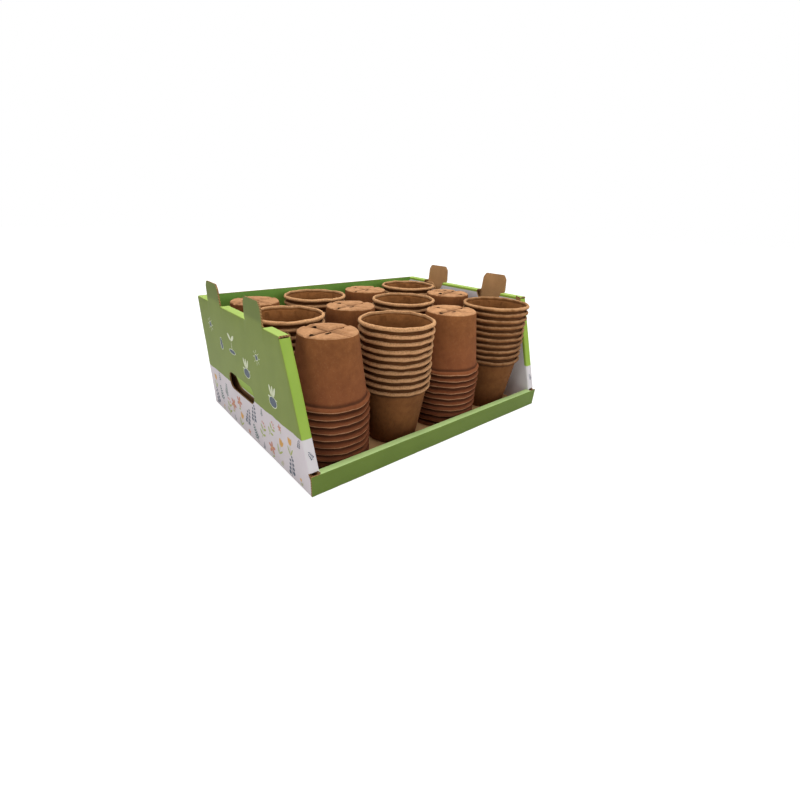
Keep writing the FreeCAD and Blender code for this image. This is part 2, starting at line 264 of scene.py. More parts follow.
def pattern_group(name: str, numbers: dict[str, float], outputs: Sequence[str],
                  build: Callable[[Nodes, dict], Sequence[Socket]]) -> Tree:
    """Make a shader node group that reads a place and puts out masks and heights.

    Args:
        name: The group's name.
        numbers: Its inputs beside Place, each with its default.
        outputs: Its outputs' names.
        build: Takes the tree and the input sockets, and returns a socket for each output.

    Returns:
        The group's tree.
    """
    tree = bpy.data.node_groups.new(name, "ShaderNodeTree")
    tree.interface.new_socket("Place", in_out="INPUT", socket_type="NodeSocketVector")
    for label, default in numbers.items():
        socket = tree.interface.new_socket(label, in_out="INPUT", socket_type="NodeSocketFloat")
        socket.default_value = default
    for label in outputs:
        tree.interface.new_socket(label, in_out="OUTPUT", socket_type="NodeSocketFloat")
    nodes = Nodes(tree)
    results = build(nodes, nodes.add("NodeGroupInput").outputs)
    nodes.add("NodeGroupOutput", dict(zip(outputs, results)))
    return tree


def build_fibre_group() -> Tree:
    """Mottling, flecks and felted relief of pressed fibre."""

    def inside(nodes: Nodes, given: dict) -> Sequence[Socket]:
        """Large clouds, blotches, fine felt, pale hairs and dark specks."""
        place = given["Place"]
        cloud = nodes.noise(place, 46.0, 4.0, 0.6)
        blotch = nodes.noise(place, 170.0, 3.0, 0.6)
        felt = nodes.noise(place, 900.0, 4.0, 0.7)
        stretched = nodes.add("Mapping", {"Vector": place, "Scale": (1.0, 1.0, 0.35),
                                          "Rotation": (0.5, 0.3, 0.0)}).outputs[0]
        pale = nodes.ramp(nodes.noise(stretched, 1700.0, 2.0, 0.5), 0.60, 0.72)
        speck = nodes.ramp(nodes.noise(place, 1250.0, 1.0, 0.4), 0.69, 0.76)
        mottle = nodes.plus(nodes.times(cloud, 0.55), nodes.times(blotch, 0.45))
        height = nodes.plus(nodes.times(felt, 0.6), nodes.times(blotch, 0.8))
        return mottle, pale, speck, height

    return pattern_group("pressed_fibre", {}, ("Mottle", "Pale", "Speck", "Height"), inside)


def build_board_group() -> Tree:
    """Faint flute lines, paper grain and scuffs of corrugated board."""

    def inside(nodes: Nodes, given: dict) -> Sequence[Socket]:
        """The flutes run across the way that the two numbers give."""
        place = given["Place"]
        along = nodes.add("SeparateXYZ", {0: place}).outputs
        run = nodes.plus(nodes.times(along[X], given["Flutes X"]),
                         nodes.times(along[Y], given["Flutes Y"]))
        grain = nodes.noise(place, 1400.0, 3.0, 0.6)
        cloud = nodes.noise(place, 30.0, 3.0, 0.5)
        scuff = nodes.ramp(nodes.noise(place, 260.0, 5.0, 0.75), 0.60, 0.78)
        height = nodes.plus(nodes.times(nodes.flutes(run), 0.10), nodes.times(grain, 0.35))
        return grain, cloud, scuff, height

    return pattern_group("corrugated_board", {"Flutes X": 0.0, "Flutes Y": 1.0},
                         ("Grain", "Cloud", "Scuff", "Height"), inside)


@dataclass(frozen=True)
class PotFibre:
    """Matt moulded fibre, darker on the walls and paler where it is dry and rubbed; painted
    shade comes in through its tone and dryness attributes.
    """

    group: Tree
    wall: Colour = srgb("8C5A2F")
    wall_dark: Colour = srgb("724722")
    red_wall: Colour = srgb("743C28")
    rim: Colour = srgb("D0A072")
    red_rim: Colour = srgb("B37C60")
    fleck: Colour = srgb("D9B488")
    speck: Colour = srgb("4A2A18")
    name: str = "moulded_fibre"

    def material(self) -> Material:
        """Build the material from what each pot's attributes say of it."""
        nodes = Finish(self.name)
        fibre = nodes.pattern(self.group)
        # The dry attribute also carries painted shade on each rim bead's lower part, and tone
        # carries painted shade under rims, in drain valleys and lower in the stacks.
        dry, tone, warm = [nodes.add("Attribute", attribute_name=name).outputs["Fac"]
                           for name in ("dry", "tone", "warm")]
        body = nodes.mix(nodes.ramp(fibre["Mottle"], 0.30, 0.70), self.wall_dark, self.wall)
        body = nodes.mix(nodes.times(warm, 0.8), body, self.red_wall)
        ragged = nodes.plus(dry, nodes.times(nodes.minus(fibre["Mottle"], 0.5), 0.7))
        rim = nodes.mix(nodes.times(warm, 0.75), self.rim, self.red_rim)
        body = nodes.mix(nodes.ramp(ragged, 0.25, 0.75), body, rim)
        grains = nodes.ramp(nodes.noise(nodes.place, 520.0, 3.0, 0.7), 0.42, 0.62)
        body = nodes.mix(nodes.times(nodes.times(grains, dry), 0.50), body, self.wall)
        body = nodes.mix(nodes.times(fibre["Pale"], 0.10), body, self.fleck)
        specks = nodes.times(fibre["Speck"], nodes.plus(nodes.times(dry, 0.6), 0.12))
        body = nodes.mix(specks, body, self.speck)
        toned = nodes.add("HueSaturation", {"Value": tone, "Color": body}).outputs[0]
        return nodes.surface(toned, 0.93, 0.18, (fibre["Height"], 0.5, 0.35 * MM))


@dataclass(frozen=True)
class PrintedBoard:
    """The printed face of the board: green above a hand-drawn border and white below it."""

    group: Tree
    name: str
    border: float
    green: Colour
    white: Colour
    flutes: Pair
    dull_tab: Colour = srgb("56612C")
    rubbed: Colour = srgb("F2EEDD")
    tab_foot: float = 159 * MM
    tab_fade: float = 6 * MM
    border_waver: float = 3.2 * MM
    border_blur: float = 0.5 * MM

    def material(self) -> Material:
        """Build the material."""
        nodes = Finish(self.name)
        board = nodes.pattern(self.group, dict(zip(("Flutes X", "Flutes Y"), self.flutes)))
        height = nodes.add("SeparateXYZ", {0: nodes.place}).outputs[Z]
        waver = nodes.times(nodes.minus(nodes.noise(nodes.place, 60.0, 3.0, 0.6), 0.5),
                            self.border_waver)
        above = nodes.minus(nodes.plus(height, waver), self.border)
        ink = nodes.mix(nodes.ramp(above, -self.border_blur, self.border_blur), self.white,
                        self.green)
        tab = nodes.ramp(height, self.tab_foot, self.tab_foot + self.tab_fade)
        ink = nodes.mix(nodes.times(tab, 0.5), ink, self.dull_tab)
        ink = nodes.mix(nodes.times(nodes.ramp(board["Cloud"], 0.3, 0.7), 0.10), ink,
                        (1.0, 1.0, 1.0), "SOFT_LIGHT")
        ink = nodes.mix(nodes.times(board["Scuff"], 0.06), ink, self.rubbed)
        rough = nodes.spread(board["Grain"], 0.40, 0.58)
        return nodes.surface(ink, rough, 0.22, (board["Height"], 0.25, 0.12 * MM))


@dataclass(frozen=True)
class KraftBoard:
    """Bare kraft liner, or its cut edge with the flutes between two liners."""

    group: Tree
    name: str
    paper: Colour
    dark: Colour
    cut_edge: bool = False
    fibre: Colour = srgb("CDA878")

    def material(self) -> Material:
        """Build the material."""
        nodes = Finish(self.name)
        board = nodes.pattern(self.group)
        if self.cut_edge:
            axes = nodes.add("SeparateXYZ", {0: nodes.place}).outputs
            run = nodes.plus(axes[Y], nodes.plus(axes[X], axes[Z]))
            share = nodes.ramp(nodes.plus(nodes.flutes(run), board["Grain"]), 0.1, 1.0)
        else:
            share = nodes.ramp(board["Cloud"], 0.3, 0.75)
        colour = nodes.mix(share, self.dark, self.paper)
        fibres = nodes.times(nodes.ramp(board["Grain"], 0.35, 0.7), 0.35)
        colour = nodes.mix(fibres, colour, self.fibre)
        return nodes.surface(colour, 0.85, 0.2, (board["Height"], 0.4, 0.15 * MM))


@dataclass(frozen=True)
class PrintInk:
    """One flat colour of the print, slightly broken where the board shows through."""

    group: Tree
    name: str
    colour: Colour
    worn: Colour = srgb("D8CFD4")

    def material(self) -> Material:
        """Build the material."""
        nodes = Finish(self.name)
        board = nodes.pattern(self.group)
        ink = nodes.mix(nodes.times(board["Scuff"], 0.35), self.colour, self.worn)
        ink = nodes.mix(nodes.times(board["Grain"], 0.25), ink,
                        tuple(share * 0.6 for share in self.colour))
        return nodes.surface(ink, 0.55, 0.3)


def enter_edit() -> None:
    """Enter edit mode."""
    bpy.ops.object.mode_set(mode="EDIT")


def leave_edit() -> None:
    """Leave edit mode."""
    bpy.ops.object.mode_set(mode="OBJECT")


def deselect_all() -> None:
    """Leave edit mode and select nothing."""
    if bpy.context.object and bpy.context.object.mode != "OBJECT":
        leave_edit()
    bpy.ops.object.select_all(action="DESELECT")


def pick(piece: Piece) -> None:
    """Make a piece the only selected and the active one."""
    deselect_all()
    piece.hide_set(False)
    piece.select_set(True)
    bpy.context.view_layer.objects.active = piece


def settle(piece: Piece) -> None:
    """Move a piece's place, turn and size into its mesh."""
    pick(piece)
    bpy.ops.object.transform_apply(location=True, rotation=True, scale=True)


def dress(piece: Piece, materials: Iterable[Material]) -> None:
    """Give a piece these materials alone."""
    piece.data.materials.clear()
    for material in materials:
        piece.data.materials.append(material)


def apply_modifier(piece: Piece, kind: str, **settings) -> None:
    """Add a modifier with its settings and apply it.

    Args:
        piece: The object.
        kind: The modifier's type.
        settings: The modifier's attributes.
    """
    modifier = piece.modifiers.new(kind.lower(), kind)
    for name, setting in settings.items():
        setattr(modifier, name, setting)
    pick(piece)
    bpy.ops.object.modifier_apply(modifier=modifier.name)


def wave(piece: Piece, texture: Texture, strength: float, way: str,
         group: str = "") -> None:
    """Displace a piece by a texture along an axis, or by its colours, within a group."""
    apply_modifier(piece, "DISPLACE", texture=texture, strength=strength, mid_level=0.5,
                   direction=way, texture_coords="LOCAL", vertex_group=group)


def carve(piece: Piece, tool: Piece) -> None:
    """Cut a tool's shape out of a piece, and remove the tool."""
    apply_modifier(piece, "BOOLEAN", object=tool, operation="DIFFERENCE", solver="EXACT")
    bpy.data.objects.remove(tool)


def shade_smooth(piece: Piece, degrees: float) -> None:
    """Shade a piece smooth where it bends by less than an angle."""
    pick(piece)
    bpy.ops.object.shade_smooth_by_angle(angle=math.radians(degrees))


def join(pieces: Sequence[Piece], name: str) -> Piece:
    """Join pieces into the first one and name it.

    Args:
        pieces: One or more objects.
        name: The name of the whole.

    Returns:
        The first piece, with the others in it.
    """
    deselect_all()
    for piece in pieces:
        piece.select_set(True)
    bpy.context.view_layer.objects.active = pieces[0]
    if len(pieces) > 1:
        bpy.ops.object.join()
    pieces[0].name = pieces[0].data.name = name
    return pieces[0]


def copy_of(piece: Piece, name: str) -> Piece:
    """A copy of a piece with a mesh of its own.

    Args:
        piece: The object.
        name: The copy's name.

    Returns:
        The copy.
    """
    twin = piece.copy()
    twin.data = piece.data.copy()
    twin.name = name
    bpy.context.scene.collection.objects.link(twin)
    return twin


def put_in_frame(piece: Piece, body: str, slot: Slot, nodes: Sequence[str] = ()) -> None:
    """Give a finished piece its body, and hide the frame's nodes that it stands for.

    Args:
        piece: The object.
        body: The body that it rides on.
        slot: Not used.
        nodes: The nodes that it replaces.
    """
    if nodes:
        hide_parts(*nodes)
    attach(piece, body)
    LOG.info("%s: %d faces", piece.name, len(piece.data.polygons))


def select_where(kind: str, test: Callable) -> int:
    """In edit mode, select only the faces, edges or vertices that pass a test.

    Args:
        kind: "faces", "edges" or "verts".
        test: Takes the bmesh element and says whether it is selected.

    Returns:
        How many were selected.
    """
    data = bpy.context.object.data
    bpy.ops.mesh.select_mode(type=kind[:4].upper())
    bpy.ops.mesh.select_all(action="DESELECT")
    mesh = bmesh.from_edit_mesh(data)
    chosen = [element for element in getattr(mesh, kind) if test(element)]
    for element in chosen:
        element.select_set(True)
    mesh.select_flush_mode()
    bmesh.update_edit_mesh(data)
    return len(chosen)


def select_all() -> None:
    """In edit mode, select the whole mesh."""
    bpy.ops.mesh.select_all(action="SELECT")


def face_outside() -> None:
    """In edit mode, turn the whole mesh's faces outwards, or at least all one way."""
    select_all()
    bpy.ops.mesh.normals_make_consistent(inside=False)


def weld() -> None:
    """In edit mode, merge the whole mesh's doubles."""
    select_all()
    bpy.ops.mesh.remove_doubles(threshold=MERGE_REACH)


def extrude(x: float = 0.0, y: float = 0.0, z: float = 0.0) -> None:
    """In edit mode, draw the selected edges out by a step."""
    bpy.ops.mesh.extrude_edges_move(TRANSFORM_OT_translate={"value": (x, y, z)})


def move(x: float = 0.0, y: float = 0.0, z: float = 0.0) -> None:
    """In edit mode, move what is selected by a step."""
    bpy.ops.transform.translate(value=(x, y, z))


def resize(scale: Sequence[float], about: Sequence[float] = (0, 0, 0)) -> None:
    """In edit mode, resize what is selected about a place."""
    bpy.ops.transform.resize(value=scale, center_override=about)


def round_corners(radius: float, segments: int) -> None:
    """In edit mode, round the selected corners of a sheet."""
    bpy.ops.mesh.bevel(offset=radius, offset_type="OFFSET", segments=segments,
                       affect="VERTICES")


def cut_plane(point: Sequence[float], normal: Sequence[float], clear: bool = False) -> None:
    """In edit mode, cut what is selected along a plane, and drop what is in front if asked."""
    bpy.ops.mesh.bisect(plane_co=point, plane_no=normal, clear_outer=clear)


def cut_across(axis: int, places: Iterable[float]) -> None:
    """In edit mode, cut the whole mesh across an axis.

    Args:
        axis: The axis.
        places: Where on the axis each cut goes.
    """
    normal = Vector([float(axis == index) for index in (X, Y, Z)])
    for place in places:
        select_all()
        cut_plane(normal * place, normal)


def steps_between(low: float, high: float, size: float) -> list[float]:
    """Evenly spaced values strictly between two ends, about a size apart."""
    count = max(1, round((high - low) / size))
    return [low + (high - low) * index / count for index in range(1, count)]


def near(value: float, target: float) -> bool:
    """Whether a value is at a target."""
    return abs(value - target) < NEAR_REACH


def lies_at(edge: Edge, axis: int, place: float) -> bool:
    """Whether both of an edge's ends are at a place on an axis."""
    return all(near(vertex.co[axis], place) for vertex in edge.verts)


def middle_of(edge: Edge) -> Vector:
    """An edge's middle."""
    return (edge.verts[0].co + edge.verts[1].co) / 2


def standing_plane(name: str, side_on: bool, at: float, start: float, end: float, low: float,
                   high: float) -> Piece:
    """Add an upright plane and enter edit mode.

    Args:
        name: The new object's name.
        side_on: True for a plane across X, which runs along Y, else one across Y.
        at: Its place on the axis that it is across.
        start: Where it starts on the axis that it runs along.
        end: Where it ends there.
        low: Its foot.
        high: Its top.

    Returns:
        The plane, in edit mode.
    """
    deselect_all()
    run, rise = end - start, high - low
    middle, half_way = (start + end) / 2, (low + high) / 2
    place = (at, middle, half_way) if side_on else (middle, at, half_way)
    turn = (0, math.pi / 2, 0) if side_on else (math.pi / 2, 0, 0)
    bpy.ops.mesh.primitive_plane_add(size=1.0, location=place, rotation=turn)
    piece = bpy.context.object
    piece.name = name
    piece.scale = (rise, run, 1.0) if side_on else (run, rise, 1.0)
    settle(piece)
    enter_edit()
    return piece


def round_ended_prism(sides: int, width: float, length: float, depth: float,
                      place: Sequence[float], turn: Sequence[float], axis: int) -> Piece:
    """Model a cutter: a prism with round ends.

    Args:
        sides: How many sides its two round ends have together.
        width: Its width.
        length: Its whole length.
        depth: How far it reaches through.
        place: Its middle.
        turn: The turn of the cylinder that it starts from, which stands along Z.
        axis: The axis that its length is along.

    Returns:
        The cutter.
    """
    deselect_all()
    bpy.ops.mesh.primitive_cylinder_add(vertices=sides, radius=width / 2, depth=depth,
                                        location=place, rotation=turn)
    tool = bpy.context.object
    settle(tool)
    enter_edit()
    step = Vector([(length - width) / 2 * (axis == index) for index in (X, Y, Z)])
    for sign in (-1, 1):
        select_where("verts", lambda v: (v.co[axis] - place[axis]) * sign > MIDDLE_REACH)
        move(*(sign * step))
    leave_edit()
    return tool


@dataclass(frozen=True)
class TraySizes:
    """The tray's sizes in metres, read from the frame's nodes.

    The frame's flat panels are thicker than the real board, which the sheets follow.
    """

    board: float
    half_width: float
    inner_face: float
    front: float
    back: float
    wall_height: float
    tab_top: float
    lip_height: float
    lip_inner: float
    tabs: tuple[Pair, ...]
    sheet: float = 1.8 * MM
    slant_foot: float = 20 * MM
    setback: float = 48 * MM
    slit: float = 2.6 * MM
    strip_foot: float = 26.5 * MM
    tab_shoulder: float = 6 * MM
    tab_taper: float = 1.5 * MM
    tab_corner: float = 6 * MM
    tab_round: float = 1.3 * MM
    lock_reach: float = 20 * MM
    lock_gap: float = 0.1 * MM
    side_locks: Pair = (-70 * MM, 70 * MM)
    lip_locks: Pair = (-110 * MM, 110 * MM)
    hole_length: float = 78 * MM
    hole_height: float = 23 * MM
    hole_from_back: float = 122 * MM
    hole_above_foot: float = 64.5 * MM

    @classmethod
    def read(cls) -> "TraySizes":
        """Read the sizes from the frame."""
        outer, inner, lip, lip_top, back, base = [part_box(name) for name in (
            "left_outer_panel", "left_inner_panel", "lip_outer_panel", "lip_top_strip",
            "back_panel", "base_panel")]
        front, middle, rear = [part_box(f"left_{word}_top_strip")
                               for word in ("front", "middle", "rear")]
        return cls(board=base[1].z - base[0].z, half_width=-outer[0].x,
                   inner_face=-inner[1].x, front=lip[0].y, back=back[1].y,
                   wall_height=back[1].z, tab_top=outer[1].z, lip_height=lip[1].z,
                   lip_inner=lip_top[1].y,
                   tabs=((front[1].y, middle[0].y), (middle[1].y, rear[0].y)))

    @property
    def panel_front(self) -> float:
        """Where the side walls start, behind the lip's outer panel."""
        return self.front + self.sheet

    @property
    def slant_top(self) -> float:
        """Where the leaning front edge reaches the wall's top."""
        return self.front + self.setback

    @property
    def lean(self) -> float:
        """How far the leaning edge goes back for each unit that it rises."""
        return (self.slant_top - self.panel_front) / (self.wall_height - self.slant_foot)

    @property
    def hole_middle(self) -> float:
        """The hand hole's middle along Y."""
        return self.back - self.hole_from_back

    def slant_at(self, z: float) -> float:
        """Where the leaning edge is at a height."""
        return self.panel_front + self.lean * (z - self.slant_foot)

    def lock_ends(self, locks: Sequence[float]) -> list[float]:
        """Where each of these locking tabs starts and ends."""
        return [lock + reach for lock in locks for reach in (-self.lock_reach, self.lock_reach)]

    def draw_locks(self, axis: int, locks: Sequence[float]) -> None:
        """In edit mode, draw a panel's locking tabs out of its foot, down into the base.

        Args:
            axis: The axis that the panel runs along.
            locks: The tabs' middles on it.
        """
        select_where("edges", lambda edge: lies_at(edge, Z, self.board) and any(
            abs(middle_of(edge)[axis] - lock) < self.lock_reach for lock in locks))
        extrude(z=-self.board + self.lock_gap)


@dataclass(frozen=True)
class BoardFinish:
    """The finishes of one bent sheet, in the order of Layer."""

    face: Material
    kraft: Material
    cut_edge: Material
    leaning_strip: Material
    top_strip: Material
    inner_face: Material

    def slots(self) -> list[Material]:
        """The materials in order."""
        return [getattr(self, entry.name) for entry in fields(self)]


@dataclass
class BentSheet:
    """What every bent sheet of board has: thickness, waver, raw edges and finishes."""

    sizes: TraySizes
    finish: BoardFinish
    waver: Texture
    crease_angle: float = math.radians(25)
    crease_round: float = 2.0 * MM
    grid: float = 12 * MM
    edge_round: float = 0.14 * MM
    edge_angle: float = math.radians(60)

    def face_out(self, axis: int, at: float, out: int) -> None:
        """In edit mode, make the sheet's faces agree, with those at a place facing out.

        Args:
            axis: The axis that these faces are across.
            at: Their place on it.
            out: The sign of the way that they have to face.
        """
        face_outside()
        mesh = bmesh.from_edit_mesh(bpy.context.object.data)
        if any(face.normal[axis] * out <= 0 for face in mesh.faces
               if near(face.calc_center_median()[axis], at)):
            bpy.ops.mesh.flip_normals()

    def bend_creases(self) -> None:
        """In edit mode, round every crease of the sheet."""
        if select_where("edges", lambda edge: len(edge.link_faces) == 2
                        and edge.calc_face_angle(0.0) > self.crease_angle):
            bpy.ops.mesh.bevel(offset=self.crease_round, offset_type="OFFSET", segments=4,
                               profile=0.5, affect="EDGES", clamp_overlap=False)

    def thicken(self, piece: Piece, thickness: float, waver_axis: Optional[str] = None) -> None:
        """Leave edit mode and give a sheet its finishes, waver and thickness.

        Args:
            piece: The sheet.
            thickness: Its thickness.
            waver_axis: The axis that it wavers along, if it does.
        """
        leave_edit()
        dress(piece, self.finish.slots())
        if waver_axis:
            wave(piece, self.waver, BOARD_WAVER, waver_axis)
        apply_modifier(piece, "SOLIDIFY", thickness=thickness, offset=-1.0,
                       use_even_offset=True, material_offset=Layer.KRAFT,
                       material_offset_rim=Layer.CUT_EDGE)

    def complete(self, piece: Piece, choose: Callable, nodes: Sequence[str] = ()) -> None:
        """Paint a sheet, take the sharpness off its raw edges and put it in the frame.

        Args:
            piece: The sheet.
            choose: Takes a face and gives its new Layer, or None where its own stays.
            nodes: The frame's nodes that it replaces.
        """
        for face in piece.data.polygons:
            layer = choose(face)
            if layer is not None:
                face.material_index = layer
        apply_modifier(piece, "BEVEL", width=self.edge_round, segments=1, limit_method="ANGLE",
                       angle_limit=self.edge_angle, use_clamp_overlap=True)
        shade_smooth(piece, 40)
        put_in_frame(piece, "tray", Slot.PRINT, nodes)


@dataclass
class SideWall(BentSheet):
    """A double side wall, bent from one sheet, with its tabs, slit and hand hole."""

    side: Side = Side.LEFT
    hole_depth: float = 30 * MM
    hole_reach: float = 0.1 * MM
    top_margin: float = 6 * MM
    facing: float = 0.75
    flap_lean: float = math.radians(15)
    flap_share: float = 0.4
    flap_thinner: float = 0.5 * MM
    flap_gap: float = 0.8 * MM
    flap_foot: float = 4.5 * MM
    flap_inset: float = 0.4 * MM
    flap_corners: Pair = (8.5 * MM, 3.0 * MM)

    @property
    def out(self) -> int:
        """The sign of X on the wall's outer side."""
        return self.side.value

    def cut_panel(self, across: float) -> None:
        """In edit mode, cut a panel's leaning front, and its height at tabs, locks and back."""
        s = self.sizes
        select_all()
        cut_plane((across, s.panel_front, s.slant_foot), (0, -1, s.lean), clear=True)
        cut_across(Y, [end for tab in s.tabs for end in tab] + s.lock_ends(s.side_locks)
                   + [s.back - s.sheet])

    def outer_part(self) -> Piece:
        """The outer panel with its tabs, top strips and leaning strip."""
        s = self.sizes
        across = self.out * s.half_width
        inwards = -self.out * (s.half_width - s.inner_face)
        wall = standing_plane("outer_part", True, across, s.panel_front, s.back, 0.0,
                              s.wall_height)
        self.cut_panel(across)
        for tab in s.tabs:
            self.raise_tab(*tab)

        def is_top(edge: Edge) -> bool:
            """Whether an edge is of the wall's top, between the tabs."""
            in_tab = any(start < middle_of(edge).y < end for start, end in s.tabs)
            return lies_at(edge, Z, s.wall_height) and not in_tab

        def is_leaning(edge: Edge) -> bool:
            """Whether an edge is of the outer panel's leaning front."""
            return (all(near(v.co.y, s.slant_at(v.co.z)) for v in edge.verts)
                    and lies_at(edge, X, across)
                    and not near(edge.verts[0].co.z, edge.verts[1].co.z))

        def is_in_strip(face: Face) -> bool:
            """Whether a face is of the leaning strip."""
            return abs(face.normal.y) > 0.5

        for test in (is_top, is_leaning):
            select_where("edges", test)
            extrude(x=inwards)
        for height, sign in ((s.wall_height - s.slit, 1), (s.strip_foot, -1)):
            select_where("faces", is_in_strip)
            cut_plane((across, 0, height), (0, 0, 1))
            select_where("faces", lambda face: is_in_strip(face)
                         and (face.calc_center_median().z - height) * sign > 0)
            bpy.ops.mesh.delete(type="FACE")
        leave_edit()
        return wall

    def raise_tab(self, start: float, end: float) -> None:
        """In edit mode, raise a stacking tab from the wall's top edge.

        Args:
            start: Where the tab starts along Y.
            end: Where it ends.
        """
        s = self.sizes
        select_where("edges", lambda edge: lies_at(edge, Z, s.wall_height)
                     and start < middle_of(edge).y < end)
        half = (end - start) / 2
        widths = (half, half - s.tab_taper, half - s.tab_corner)
        rises = (s.tab_top - s.wall_height - s.tab_shoulder, s.tab_shoulder)
        for rise, wide, narrow in zip(rises, widths, widths[1:]):
            extrude(z=rise)
            resize((1, narrow / wide, 1), (0, (start + end) / 2, 0))
        select_where("verts", lambda v: v.co.z > s.wall_height + MM
                     and start - MM < v.co.y < end + MM)
        round_corners(s.tab_round, 3)

    def inner_part(self) -> Piece:
        """The inner panel with its notches and locking tabs."""
        s = self.sizes
        across = self.out * s.inner_face
        panel = standing_plane("inner_part", True, across, s.panel_front, s.back - s.sheet,
                               s.board, s.wall_height)
        self.cut_panel(across)
        cut_across(Z, (s.wall_height - s.slit, s.strip_foot))
        for tab in s.tabs:
            self.cut_notch(*tab)
        s.draw_locks(Y, s.side_locks)
        leave_edit()
        return panel

    def cut_notch(self, start: float, end: float) -> None:
        """In edit mode, cut the notch that a tab leaves in the inner panel's top edge.

        Args:
            start: Where the tab starts along Y.
            end: Where it ends.
        """
        s = self.sizes
        floor = s.wall_height - (s.tab_top - s.wall_height - (s.half_width - s.inner_face))
        shoulder = floor + s.tab_shoulder

        def in_column(face: Face) -> bool:
            """Whether a face lies below the tab's place."""
            return start < face.calc_center_median().y < end

        for height in (floor, shoulder):
            select_where("faces", in_column)
            cut_plane((0, 0, height), (0, 0, 1))
        select_where("faces", lambda face: in_column(face)
                     and face.calc_center_median().z > floor)
        bpy.ops.mesh.delete(type="FACE")
        for y, sign in ((start, 1), (end, -1)):
            for height, shift in ((floor, s.tab_corner), (shoulder, s.tab_taper)):
                select_where("verts", lambda v: near(v.co.y, y) and near(v.co.z, height))
                move(y=sign * shift)

    def layer_at(self, face: Polygon) -> Optional[Layer]:
        """A face's layer: the hole's cut edge, and what is green or white inside.

        Args:
            face: A face of the finished sheet.

        Returns:
            Its layer, or None where its own stays.
        """
        s = self.sizes
        place = face.center
        outwards = face.normal.x * self.out
        in_hole = (abs(place.y - s.hole_middle) < s.hole_length / 2 + self.hole_reach
                   and abs(place.z - s.hole_above_foot) < s.hole_height / 2 + self.hole_reach)
        if in_hole and abs(outwards) < 0.5:
            return Layer.CUT_EDGE
        if face.material_index != Layer.FACE or outwards > self.facing:
            return None
        if outwards < -self.facing:
            wrapped = (place.y < s.slant_at(place.z) + WRAP_MARGIN
                       or place.z > s.wall_height - WRAP_MARGIN)
            return Layer.STRIP if wrapped and place.z >= PRINT_BORDER else Layer.INSIDE
        # Faces that face up take the paler top green, a painted highlight.
        return Layer.TOP if face.normal.z > self.facing else Layer.STRIP

    def hand_flap(self) -> None:
        """The hand hole's flap, which hangs from the hole's top and is pushed in."""
        s = self.sizes
        reach = s.hole_length / 2 - self.flap_gap
        top = s.hole_above_foot + s.hole_height / 2
        low = s.hole_above_foot - s.hole_height / 2 + self.flap_foot
        across = self.out * (s.half_width - self.flap_inset)
        flap = standing_plane(f"{self.side.word}_hand_flap", True, across,
                              s.hole_middle - reach,
                              s.hole_middle + self.flap_share * reach, low, top)
        for height, radius, segments in zip((low, top), self.flap_corners, (6, 3)):
            select_where("verts", lambda v: near(v.co.z, height))
            round_corners(radius, segments)
        self.face_out(X, across, self.out)
        select_all()
        bpy.ops.transform.rotate(value=-self.out * self.flap_lean, orient_axis="Y",
                                 center_override=(across, 0, top))
        self.thicken(flap, s.sheet - self.flap_thinner)
        self.complete(flap, lambda face: Layer.STRIP if face.material_index == Layer.FACE
                      else None)

    def build(self) -> None:
        """Build the wall and its hand hole's flap."""
        s = self.sizes
        word = self.side.word
        inner = self.inner_part()
        wall = join([self.outer_part(), inner], f"{word}_wall_sheet")
        pick(wall)
        enter_edit()
        weld()
        self.face_out(X, self.out * s.half_width, self.out)
        self.bend_creases()
        at = self.out * s.inner_face
        for point, normal in (
                ((at, s.slant_top + WRAP_MARGIN, s.wall_height), (0, -1, s.lean)),
                ((at, 0, s.wall_height - WRAP_MARGIN), (0, 0, 1)),
                ((at, 0, PRINT_BORDER), (0, 0, 1))):
            select_where("faces", lambda face: near(face.calc_center_median().x, at))
            cut_plane(point, normal)
        cut_across(Y, steps_between(s.panel_front, s.back, self.grid))
        cut_across(Z, steps_between(0, s.wall_height - self.top_margin, self.grid))
        self.thicken(wall, s.sheet, "X")
        carve(wall, round_ended_prism(
            32, s.hole_height, s.hole_length, self.hole_depth,
            (self.out * (s.half_width + s.inner_face) / 2, s.hole_middle, s.hole_above_foot),
            (0, math.pi / 2, 0), Y))
        self.complete(wall, self.layer_at, [f"{word}_{part}" for part in (
            "outer_panel", "inner_panel", "front_edge_strip", "front_top_strip",
            "middle_top_strip", "rear_top_strip")])
        self.hand_flap()


@dataclass
class Lip(BentSheet):
    """The low double front wall, bent from one sheet."""

    facing: float = 0.6

    def build(self) -> None:
        """Build the lip."""
        s = self.sizes
        lip = standing_plane("lip_sheet", False, s.front, -s.half_width, s.half_width, 0.0,
                             s.lip_height)
        cut_across(X, [-s.inner_face, s.inner_face, *s.lock_ends(s.lip_locks)])
        select_where("edges", lambda edge: lies_at(edge, Z, s.lip_height) and all(
            abs(v.co.x) < s.inner_face + NEAR_REACH for v in edge.verts))
        extrude(y=s.lip_inner - s.front)
        extrude(z=s.board - s.lip_height)
        s.draw_locks(X, s.lip_locks)
        self.face_out(Y, s.front, -1)
        self.bend_creases()
        cut_across(X, steps_between(-s.half_width, s.half_width, self.grid))
        self.thicken(lip, s.sheet, "Y")

        def layer_at(face: Polygon) -> Optional[Layer]:
            """A face's layer: the strip on top and the inner panel have their own."""
            if face.material_index != Layer.FACE:
                return None
            # The top takes a paler green, a painted highlight.
            if face.normal.z > self.facing:
                return Layer.TOP
            return Layer.INSIDE if face.normal.y > self.facing else None

        self.complete(lip, layer_at, ["lip_outer_panel", "lip_top_strip", "lip_inner_panel"])


